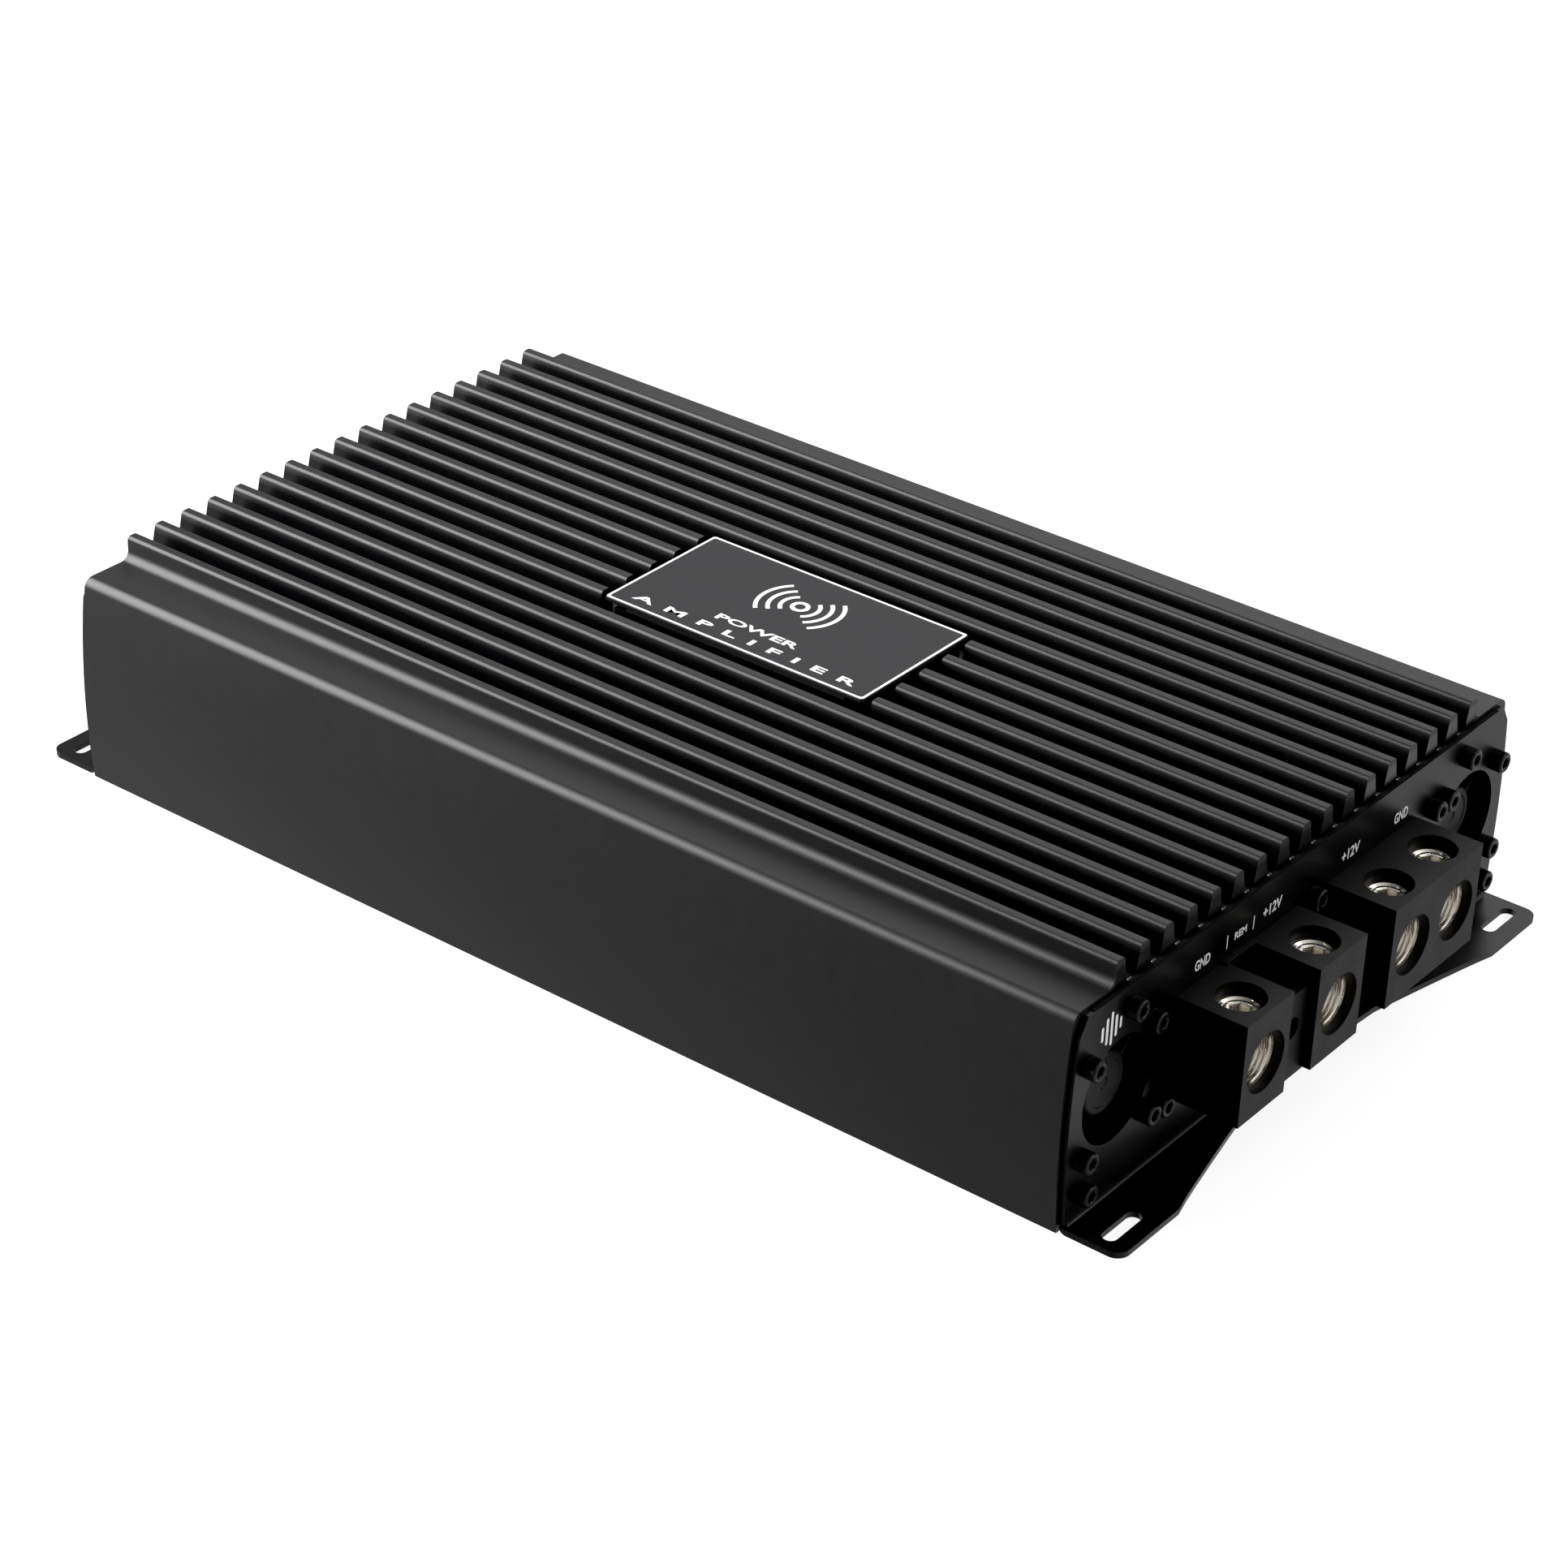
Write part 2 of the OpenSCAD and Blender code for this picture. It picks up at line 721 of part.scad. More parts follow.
module fan_stators() {
  color([0.7, 0.42, 0.2])
    for (side = [-1, 1])
      translate([base_disc_x + 0.5, side * fan_y, fan_z])
        rotate([0, 90, 0])
          ring(2.65, 8.4, 10);
}

module fan_rotor(y) {
  cup_back_x = base_disc_x + 0.4;
  color([0.13, 0.13, 0.14])
    union() {
      difference() {
        rod_x(cup_back_x, hub_front_x, y, fan_z, hub_radius);
        rod_x(cup_back_x - cut, hub_front_x - 1.6, y, fan_z, 9.2);
      }
      rod_x(fan_back_x + 1.2, hub_front_x - 1, y, fan_z, shaft_radius);
      intersection() {
        for (i = [0:blade_count - 1])
          translate([(cup_back_x + hub_front_x) / 2, y, fan_z])
            rotate([i * 360 / blade_count, 0, 0])
              translate([0, 0, 14])
                rotate([0, 0, 42])
                  cube([1.1, 14.5, 9.4], center = true);
        difference() {
          rod_x(cup_back_x, hub_front_x - 0.5, y, fan_z, duct_radius - 0.7);
          rod_x(cup_back_x - cut, hub_front_x + cut, y, fan_z, hub_radius - 0.4);
        }
      }
    }
}

module fan_screws() {
  color([0.06, 0.06, 0.07])
    for (side = [-1, 1])
      for (dy = [-1, 1])
        for (dz = [-1, 1])
          cap_screw(plate_x, side * fan_y + dy * fan_hole_offset, fan_z + dz * fan_hole_offset, 20);
}

module power_end_screws() {
  color([0.06, 0.06, 0.07])
    for (p = power_screw_places)
      cap_screw(plate_x, p[0], p[1], 12);
}

module control_end_screws() {
  color([0.06, 0.06, 0.07])
    signal_end()
      for (p = control_screw_places)
        cap_screw(plate_x, p[0], p[1], 12);
}

module speaker_block() {
  y0 = speaker_y0 - speaker_pitch / 2 - 2.5;
  y1 = speaker_y0 + 3.5 * speaker_pitch + 2.5;
  color([0.1, 0.1, 0.11])
    signal_end()
      difference() {
        box(plate_x, block_x, y0, y1, speaker_bottom_z, speaker_top_z);
        for (y = speaker_places) {
          box(plate_x - cut, block_x - 3, y - speaker_insert_half_width, y + speaker_insert_half_width,
            speaker_bottom_z + 2, speaker_insert_top_z);
          rod_x(block_x - 4, block_x + cut, y, speaker_z, speaker_bore_radius + 0.8);
          rod_z(speaker_screw_x, y, speaker_insert_top_z - cut, speaker_top_z + cut, 3.6);
        }
        block_screw_holes(speaker_block_screws, 9);
      }
}

module speaker_inserts() {
  top = speaker_insert_top_z - fit_gap;
  low = speaker_bottom_z + 2 + fit_gap;
  half = speaker_insert_half_width - fit_gap;
  color([0.78, 0.75, 0.68])
    signal_end()
      for (y = speaker_places)
        difference() {
          union() {
            box(insert_back_x, block_x - 3, y - half, y + half, low, top);
            box(tongue_end_x + 2, insert_back_x + cut, y - 2.5, y + 2.5, low, low + 3);
            box(tongue_end_x + 2, tongue_end_x + 5, y - 2.5, y + 2.5, board_top_z, low + cut);
          }
          rod_x(block_x - 3 - 17, block_x, y, speaker_z, speaker_bore_radius);
          rod_z(speaker_screw_x, y, speaker_z, top + cut, speaker_screw_radius + fit_gap);
        }
}

module speaker_clamp_screw(i) {
  color([0.8, 0.77, 0.7])
    signal_end()
      set_screw(speaker_screw_x, speaker_places[i], speaker_insert_top_z - 0.2, speaker_screw_radius, 4.3, 1.7);
}

module phono_block() {
  color([0.1, 0.1, 0.11])
    signal_end()
      difference() {
        union() {
          box(end_x - 14, end_x, -27.5, 2.5, 18.5, 49.5);
          for (p = phono_places)
            rod_x(end_x - cut, plate_x + 1, p[0], p[1], 5.2);
        }
        for (p = phono_places)
          rod_x(end_x - 12, plate_x + 2, p[0], p[1], phono_radius + fit_gap);
      }
}

module phono_shells() {
  color([0.8, 0.78, 0.7])
    signal_end()
      for (p = phono_places)
        difference() {
          union() {
            rod_x(end_x - 11, plate_x + 10, p[0], p[1], phono_radius);
            rod_x(plate_x + 1.1, plate_x + 1.9, p[0], p[1], 5);
          }
          rod_x(end_x - 12, plate_x + 11, p[0], p[1], 3.3);
        }
}

module phono_contacts() {
  color([0.75, 0.7, 0.6])
    signal_end()
      for (p = phono_places)
        difference() {
          union() {
            rod_x(end_x - 10, plate_x + 6, p[0], p[1], 3.25);
            rod_x(end_x - 10, plate_x + 8, p[0], p[1], 2.2);
          }
          rod_x(end_x - 4, plate_x + 9, p[0], p[1], 1.65);
        }
}

module potentiometers() {
  color([0.2, 0.25, 0.22])
    signal_end()
      for (p = knob_places)
        difference() {
          union() {
            box(end_x - 8, end_x - 1, p[0] - 5.5, p[0] + 5.5, p[1] - 6, p[1] + 5.5);
            rod_x(end_x - 8, end_x + 1.5, p[0], p[1], 3.5);
          }
          rod_x(end_x - 7, plate_x + cut, p[0], p[1], 2.5 + fit_gap);
        }
}

// Knob with a grip of fine grooves and a pointer slot, on its own shaft
module control_knob(p) {
  face_x = plate_x + 8.5;
  color([0.1, 0.1, 0.11])
    signal_end()
      difference() {
        union() {
          rod_x(plate_x + 0.5, face_x - 0.8, p[0], p[1], knob_radius);
          rod_x(face_x - 0.9, face_x, p[0], p[1], knob_radius - 0.6);
          rod_x(end_x - 6.5, plate_x + cut, p[0], p[1], 2.5);
        }
        for (a = [0:20:340])
          translate([0, p[0], p[1]])
            rotate([a, 0, 0])
              rod_x(plate_x + 2.5, face_x + cut, 0, knob_radius + 0.25, 0.55);
        box(face_x - 1, face_x + cut, p[0] - 0.4, p[0] + 0.4, p[1] + 0.8, p[1] + knob_radius);
      }
}

module switch_bodies() {
  color([0.6, 0.6, 0.58])
    signal_end()
      for (p = [phase_switch_place, mode_switch_place])
        difference() {
          box(end_x - 8, end_x - 0.5, p[0] - 6.5, p[0] + 6.5, p[1] - 3.2, p[1] + 3.2);
          box(end_x - 5, end_x, p[0] - 3.8, p[0] + 3.8, p[1] - 1.9, p[1] + 1.9);
        }
}

module switch_slider(p) {
  start = p[0] - switch_travel / 2;
  color([0.12, 0.12, 0.13])
    signal_end()
      union() {
        box(end_x - 4.7, end_x - 2.5, start - 2.1, start + 2.1, p[1] - 1.7, p[1] + 1.7);
        box(end_x - 3, plate_x + 2.4, start - 1.6, start + 1.6, p[1] - 1.5, p[1] + 1.5);
        for (ridge = [-1, 0, 1])
          box(plate_x + 2.3, plate_x + 2.8, start + ridge - 0.25, start + ridge + 0.25, p[1] - 1.5, p[1] + 1.5);
      }
}

module remote_level_socket() {
  color([0.1, 0.1, 0.11])
    signal_end()
      difference() {
        box(end_x - 15, plate_x, socket_place[0] - 5.7, socket_place[0] + 5.7,
          socket_place[1] - 4.2, socket_place[1] + 4.2);
        box(end_x - 12, plate_x + cut, socket_place[0] - 4.9, socket_place[0] + 4.9,
          socket_place[1] - 2.2, socket_place[1] + 3.4);
        box(end_x - 12, plate_x + cut, socket_place[0] - 3, socket_place[0] + 3,
          socket_place[1] - 3.4, socket_place[1]);
      }
}

module socket_contacts() {
  color([0.85, 0.7, 0.3])
    signal_end()
      for (i = [-1.5:1:1.5])
        box(end_x - 11.9, end_x - 3, socket_place[0] + i * 1.2 - 0.2, socket_place[0] + i * 1.2 + 0.2,
          socket_place[1] + 2.9, socket_place[1] + 3.35);
}

module indicator_lights() {
  color([0.3, 0.6, 0.9])
    signal_end()
      for (p = light_places)
        union() {
          rod_x(end_x - 4, plate_x + 0.6, p[0], p[1], 1.5);
          rod_x(end_x - 4, end_x - 0.2, p[0], p[1], 1.9);
        }
}

module main_board() {
  color([0.05, 0.25, 0.14])
    difference() {
      box(-board_half_length, board_half_length, -board_half_width, board_half_width, board_z, board_top_z);
      for (p = standoff_places)
        rod_z(p[0], p[1], board_z - cut, board_top_z + cut, 1.6);
    }
}

module board_standoffs() {
  color([0.8, 0.7, 0.4])
    for (p = standoff_places)
      difference() {
        translate([p[0], p[1], 1.5])
          cylinder(h = board_z - 1.5, r = 3.2, $fn = 6);
        rod_z(p[0], p[1], 1, board_z + cut, 1.45);
      }
}

module board_screws() {
  color([0.7, 0.7, 0.7])
    for (p = standoff_places)
      union() {
        rod_z(p[0], p[1], board_top_z, board_top_z + 1.8, 2.8);
        rod_z(p[0], p[1], board_z - 5, board_top_z + cut, 1.4);
      }
}

transistor_size = [15.9, 4.6, 20.8];
transistor_z = 26;
pad_thickness = 0.5;
transistor_face = rib_inner_y - pad_thickness;

// Power transistors standing along both ribs, each on three leads
module power_transistors() {
  color([0.08, 0.08, 0.08])
    for (x = transistor_places)
      for (side = [-1, 1])
        mirror([0, side < 0 ? 1 : 0, 0])
          union() {
            translate([x - transistor_size[0] / 2, transistor_face - transistor_size[1], transistor_z])
              cube(transistor_size);
            for (i = [-1, 0, 1])
              box(x + i * 5.4 - 0.6, x + i * 5.4 + 0.6, transistor_face - 3, transistor_face - 2.4,
                board_top_z, transistor_z + 1);
          }
}

module transistor_clamps() {
  back = transistor_face - transistor_size[1];
  color([0.5, 0.5, 0.52])
    for (side = [-1, 1])
      mirror([0, side < 0 ? 1 : 0, 0])
        union() {
          box(-158, 158, back - 1.6, back, transistor_z + 8, transistor_z + 18);
          box(-158, 158, back - 5, back - 1.5, transistor_z + 16.4, transistor_z + 18);
        }
}

module thermal_pads() {
  color([0.75, 0.75, 0.72])
    for (side = [-1, 1])
      mirror([0, side < 0 ? 1 : 0, 0])
        box(-158, 158, transistor_face, rib_inner_y, transistor_z, transistor_z + transistor_size[2]);
}

module capacitor(x, y, r, height) {
  union() {
    rod_z(x, y, board_top_z, board_top_z + height, r);
    rod_z(x, y, board_top_z, board_top_z + 1.5, r + 0.4);
  }
}

module input_capacitors() {
  color([0.12, 0.14, 0.3])
    for (p = input_capacitor_places)
      capacitor(p[0], p[1], 8, 35);
}

module rail_capacitors() {
  color([0.1, 0.12, 0.2])
    for (p = rail_capacitor_places)
      capacitor(p[0], p[1], 9, 36);
}

core_inner = 8;
core_outer = 18;
core_height = 16;
wire_layer = 1.6;

module transformer_cores() {
  color([0.25, 0.3, 0.25])
    for (p = transformer_places)
      translate([p[0], p[1], board_top_z + wire_layer])
        ring(core_inner, core_outer, core_height);
}

// Winding wrapped round a toroid, open over the last part of the turn
module toroid_winding(r_in, r_out, height, layer) {
  difference() {
    rotate_extrude(angle = 310)
      translate([r_in - layer, 0])
        square([r_out - r_in + 2 * layer, height + 2 * layer]);
    translate([0, 0, layer])
      ring(r_in, r_out, height);
  }
}

module transformer_windings() {
  color([0.72, 0.4, 0.18])
    for (p = transformer_places)
      translate([p[0], p[1], board_top_z])
        toroid_winding(core_inner, core_outer, core_height, wire_layer);
}

module output_inductors() {
  color([0.65, 0.36, 0.15])
    for (p = inductor_places)
      translate([p[0], p[1], board_top_z])
        ring(8, 21, 24);
}

module upright_boards() {
  color([0.05, 0.25, 0.14]) {
    box(-104, -102.4, -52, 52, board_top_z, 46);
    box(-end_x + 15.5, -end_x + 17.1, -66, 0, board_top_z, 64);
  }
}

// Fan wires that pass through the ribs to the board
module fan_leads() {
  r = 1.1;
  color([0.6, 0.1, 0.1])
    for (side = [-1, 1])
      mirror([0, side < 0 ? 1 : 0, 0])
        union() {
          rod_z(172, 84, 17, 30, r);
          rod_x(172, fan_back_x, 84, 30, r);
          for (p = [[84, 30], [84, 17], [66, 17]])
            translate([172, p[0], p[1]])
              sphere(r = r);
          translate([172, 66, 17])
            rotate([-90, 0, 0])
              cylinder(h = 18, r = r);
          rod_z(172, 66, board_top_z, 17, r);
        }
}

heatsink();
base_plate();
power_end_plate();
control_end_plate();
nameplate();
nameplate_pad();
triple_terminal_block();
double_terminal_block();
power_insert(ground_a_y);  // ground_insert_a
power_insert(positive_a_y);  // positive_insert_a
power_insert(positive_b_y);  // positive_insert_b
power_insert(ground_b_y);  // ground_insert_b
remote_insert();
power_clamp_screw(ground_a_y);  // ground_clamp_screw_a
power_clamp_screw(positive_a_y);  // positive_clamp_screw_a
power_clamp_screw(positive_b_y);  // positive_clamp_screw_b
power_clamp_screw(ground_b_y);  // ground_clamp_screw_b
remote_clamp_screw();
fan_frames();
fan_stators();
fan_rotor(-fan_y);  // left_fan_rotor
fan_rotor(fan_y);  // right_fan_rotor
fan_screws();
power_end_screws();
control_end_screws();
base_screws();
terminal_screws();
speaker_block();
speaker_inserts();
speaker_clamp_screw(0);  // speaker_clamp_screw_1
speaker_clamp_screw(1);  // speaker_clamp_screw_2
speaker_clamp_screw(2);  // speaker_clamp_screw_3
speaker_clamp_screw(3);  // speaker_clamp_screw_4
phono_block();
phono_shells();
phono_contacts();
potentiometers();
control_knob(knob_places[0]);  // gain_knob
control_knob(knob_places[1]);  // low_pass_knob
control_knob(knob_places[2]);  // subsonic_knob
control_knob(knob_places[3]);  // bass_boost_knob
switch_bodies();
switch_slider(phase_switch_place);  // phase_slider
switch_slider(mode_switch_place);  // mode_slider
remote_level_socket();
socket_contacts();
indicator_lights();
main_board();
board_standoffs();
board_screws();
power_transistors();
transistor_clamps();
thermal_pads();
input_capacitors();
rail_capacitors();
transformer_cores();
transformer_windings();
output_inductors();
upright_boards();
fan_leads();
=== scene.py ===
import json
import math

import bmesh
import bpy
from mathutils import Matrix, Vector


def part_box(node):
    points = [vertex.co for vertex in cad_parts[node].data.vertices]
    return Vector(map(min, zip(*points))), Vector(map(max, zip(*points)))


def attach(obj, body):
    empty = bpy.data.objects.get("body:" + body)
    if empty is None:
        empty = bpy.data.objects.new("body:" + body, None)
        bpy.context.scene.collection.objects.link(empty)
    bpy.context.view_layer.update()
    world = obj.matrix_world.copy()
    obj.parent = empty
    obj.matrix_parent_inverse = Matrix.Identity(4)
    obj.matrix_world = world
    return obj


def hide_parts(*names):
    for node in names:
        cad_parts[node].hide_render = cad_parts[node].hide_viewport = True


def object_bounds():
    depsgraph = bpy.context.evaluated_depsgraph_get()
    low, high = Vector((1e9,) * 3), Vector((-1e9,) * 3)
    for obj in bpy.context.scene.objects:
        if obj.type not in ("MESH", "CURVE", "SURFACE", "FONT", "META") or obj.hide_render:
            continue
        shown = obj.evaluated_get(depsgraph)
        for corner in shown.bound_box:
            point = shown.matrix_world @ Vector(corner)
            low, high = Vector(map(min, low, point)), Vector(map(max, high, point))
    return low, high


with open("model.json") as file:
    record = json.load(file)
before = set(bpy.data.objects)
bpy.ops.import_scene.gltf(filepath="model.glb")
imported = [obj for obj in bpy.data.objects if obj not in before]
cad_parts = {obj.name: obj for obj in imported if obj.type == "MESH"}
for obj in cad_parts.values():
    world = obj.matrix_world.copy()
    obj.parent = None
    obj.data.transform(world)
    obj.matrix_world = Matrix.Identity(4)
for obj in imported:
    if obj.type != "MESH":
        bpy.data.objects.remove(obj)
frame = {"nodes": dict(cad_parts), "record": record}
cad_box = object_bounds()

# Lengths are in millimetres, apart from the camera's, the lights', the floor's and the merge distance,
# which are in metres
MM = 0.001
MERGE_DISTANCE = 1e-7
record = frame["record"]
collection = bpy.context.scene.collection


# ---------------------------------------------------------------- camera, light and floor

CAMERA_PLACE = Vector((0.7054, -0.9331, 0.7063))
CAMERA_RIGHT = Vector((0.78663, 0.61660, 0.03181))
CAMERA_FORWARD = Vector((-0.51919, 0.68849, -0.50637))
LENS = 94.44
SENSOR_WIDTH = 36.0
NEAREST_SEEN = 0.05

FLOOR_SIZE = 14
FLOOR_DROP = 0.0002
FLOOR_GREY = 0.3
FLOOR_GLOW = 0.84

# Each glow of the studio walls: direction, the cosines at which it starts and is full, and its strength
ROOM_DIMNESS = 0.22
ROOM_GLOWS = (
    ((0.8, 0.6, -0.1), -0.6, 0.9, 0.76),
    ((-0.93, -0.1, -0.36), 0.66, 0.98, 1.3),
)

# Name, place, the point it faces, width, height and power in watts
SOFTBOXES = (
    ("left_softbox", (-1.15, -0.56, 0.74), (-0.14, -0.1, 0.07), 1.5, 1.4, 70),
    ("back_softbox", (-0.5, 1.75, 1.3), (0, 0, 0.05), 2.2, 1.2, 12),
    ("right_softbox", (1.5, 0.9, 0.9), (0.2, 0.05, 0.04), 0.7, 0.5, 6),
)

DISPLAY_GAMMA = 0.85
BLACK_POINT = 0.0065


def add_camera():
    data = bpy.data.cameras.new("camera")
    data.sensor_width = SENSOR_WIDTH
    data.lens = LENS
    data.clip_start = NEAREST_SEEN
    back = -CAMERA_FORWARD.normalized()
    right = (CAMERA_RIGHT - CAMERA_RIGHT.dot(back) * back).normalized()
    turn = Matrix((right, back.cross(right), back)).transposed()
    camera = bpy.data.objects.new("camera", data)
    camera.matrix_world = Matrix.Translation(CAMERA_PLACE) @ turn.to_4x4()
    collection.objects.link(camera)
    bpy.context.scene.camera = camera


def add_softbox(name, place, target, width, height, watts):
    """A rectangular area light that faces its target."""
    data = bpy.data.lights.new(name, "AREA")
    data.shape = "RECTANGLE"
    data.size, data.size_y = width, height
    data.energy = watts
    lamp = bpy.data.objects.new(name, data)
    lamp.location = place
    aim = (Vector(target) - Vector(place)).to_track_quat("-Z", "Y")
    lamp.rotation_euler = aim.to_euler()
    collection.objects.link(lamp)


def add_floor():
    """A plain pale floor. Glossy faces see the studio walls of the world in it, not its own white."""
    bpy.ops.mesh.primitive_plane_add(size=FLOOR_SIZE, location=(0, 0, cad_box[0][2] - FLOOR_DROP))
    floor = bpy.context.object
    floor.name = "floor"
    floor.visible_glossy = False
    paint = bpy.data.materials.new("floor_paint")
    paint.use_nodes = True
    shader = paint.node_tree.nodes["Principled BSDF"]
    shader.inputs["Base Color"].default_value = (FLOOR_GREY, FLOOR_GREY, FLOOR_GREY, 1)
    shader.inputs["Roughness"].default_value = 0.9
    shader.inputs["Specular IOR Level"].default_value = 0.1
    shader.inputs["Emission Color"].default_value = (1, 1, 1, 1)
    shader.inputs["Emission Strength"].default_value = FLOOR_GLOW
    floor.data.materials.append(paint)


def add_world(dim, glows):
    """Studio walls: dim all round, and brighter towards each glow's direction."""
    world = bpy.data.worlds.new("studio")
    world.use_nodes = True
    tree = world.node_tree
    background = tree.nodes["Background"]
    background.inputs["Color"].default_value = (1, 1, 1, 1)
    place = tree.nodes.new("ShaderNodeTexCoord")
    total = None
    for direction, start, full, strength in glows:
        facing = tree.nodes.new("ShaderNodeVectorMath")
        facing.operation = "DOT_PRODUCT"
        facing.inputs[1].default_value = Vector(direction).normalized()
        level = tree.nodes.new("ShaderNodeMapRange")
        level.interpolation_type = "SMOOTHSTEP"
        level.inputs["From Min"].default_value = start
        level.inputs["From Max"].default_value = full
        level.inputs["To Max"].default_value = strength
        added = tree.nodes.new("ShaderNodeMath")
        added.inputs[0].default_value = dim
        tree.links.new(place.outputs["Generated"], facing.inputs[0])
        tree.links.new(facing.outputs["Value"], level.inputs["Value"])
        tree.links.new(level.outputs["Result"], added.inputs[1])
        if total is not None:
            tree.links.new(total, added.inputs[0])
        total = added.outputs["Value"]
    tree.links.new(total, background.inputs["Strength"])
    bpy.context.scene.world = world


def set_display():
    """Deep blacks, as in a studio product picture."""
    view = bpy.context.scene.view_settings
    view.view_transform = "Standard"
    view.gamma = DISPLAY_GAMMA
    view.use_curve_mapping = True
    view.curve_mapping.black_level = (BLACK_POINT, BLACK_POINT, BLACK_POINT)
    view.curve_mapping.update()


add_camera()
add_world(ROOM_DIMNESS, ROOM_GLOWS)
add_floor()
for box in SOFTBOXES:
    add_softbox(*box)
set_display()

# ---------------------------------------------------------------- materials

# Where blasting has dulled the finned top: from this far up a fin, and outside the row of fins
BLASTED_FROM_Z = 79.5
BLASTED_FULL_Z = 81.3
FIN_ROW_HALF_WIDTH = 100.8

# Shares of the mottling noise at which a colour or a gloss is reached in full
COLOUR_EDGES = (0.32, 0.68)
GLOSS_EDGES = (0.3, 0.7)


def maths(tree, operation):
    new = tree.nodes.new("ShaderNodeMath")
    new.operation = operation
    return new


def graded_gloss(tree, place, gloss, groove_gloss):
    """Roughness that is groove_gloss between the fins and gloss on their crests and beside them."""
    parts = tree.nodes.new("ShaderNodeSeparateXYZ")
    crest = tree.nodes.new("ShaderNodeMapRange")
    crest.inputs["From Min"].default_value = BLASTED_FROM_Z * MM
    crest.inputs["From Max"].default_value = BLASTED_FULL_Z * MM
    aside = maths(tree, "ABSOLUTE")
    outside = maths(tree, "GREATER_THAN")
    outside.inputs[1].default_value = FIN_ROW_HALF_WIDTH * MM
    blasted = maths(tree, "MAXIMUM")
    mix = tree.nodes.new("ShaderNodeMix")
    mix.inputs["A"].default_value = groove_gloss
    tree.links.new(place, parts.inputs["Vector"])
    tree.links.new(parts.outputs["Z"], crest.inputs["Value"])
    tree.links.new(parts.outputs["Y"], aside.inputs[0])
    tree.links.new(aside.outputs["Value"], outside.inputs[0])
    tree.links.new(crest.outputs["Result"], blasted.inputs[0])
    tree.links.new(outside.outputs["Value"], blasted.inputs[1])
    tree.links.new(blasted.outputs["Value"], mix.inputs["Factor"])
    tree.links.new(gloss, mix.inputs["B"])
    return mix.outputs["Result"]


def finish(name, dark, light, mottle, roughness, metallic=0.0, grain=2200.0, relief=0.12,
           depth=0.03, stretch=(1, 1, 1), specular=0.5, coat=0.0, groove_gloss=None):
    """A procedural surface: colour and gloss that vary over it, and a fine grain in relief.
    groove_gloss is the roughness down between cooling fins, where no blasting reached."""
    made = bpy.data.materials.new(name)
    made.use_nodes = True
    tree = made.node_tree
    shader = tree.nodes["Principled BSDF"]
    shader.inputs["Metallic"].default_value = metallic
    shader.inputs["Specular IOR Level"].default_value = specular
    shader.inputs["Coat Weight"].default_value = coat

    def node(kind, **inputs):
        new = tree.nodes.new(kind)
        for key, value in inputs.items():
            new.inputs[key].default_value = value
        return new

    place = node("ShaderNodeTexCoord").outputs["Object"]
    mapping = node("ShaderNodeMapping", Scale=stretch)
    patches = node("ShaderNodeTexNoise", Scale=mottle, Detail=5.0, Roughness=0.6)
    fine = node("ShaderNodeTexNoise", Scale=grain, Detail=3.0, Roughness=0.65)
    tree.links.new(place, mapping.inputs["Vector"])
    for noise in (patches, fine):
        tree.links.new(mapping.outputs["Vector"], noise.inputs["Vector"])

    ramp = tree.nodes.new("ShaderNodeValToRGB")
    for stop, position, colour in zip(ramp.color_ramp.elements, COLOUR_EDGES, (dark, light)):
        stop.position = position
        stop.color = (*colour, 1)
    tree.links.new(patches.outputs["Fac"], ramp.inputs["Fac"])
    tree.links.new(ramp.outputs["Color"], shader.inputs["Base Color"])

    gloss = node("ShaderNodeMapRange")
    gloss.inputs["From Min"].default_value, gloss.inputs["From Max"].default_value = GLOSS_EDGES
    gloss.inputs["To Min"].default_value, gloss.inputs["To Max"].default_value = roughness
    tree.links.new(patches.outputs["Fac"], gloss.inputs["Value"])
    dullness = gloss.outputs["Result"]
    if groove_gloss is not None:
        dullness = graded_gloss(tree, place, dullness, groove_gloss)
    tree.links.new(dullness, shader.inputs["Roughness"])

    bump = node("ShaderNodeBump", Strength=relief, Distance=depth * MM)
    tree.links.new(fine.outputs["Fac"], bump.inputs["Height"])
    tree.links.new(bump.outputs["Normal"], shader.inputs["Normal"])
    return made


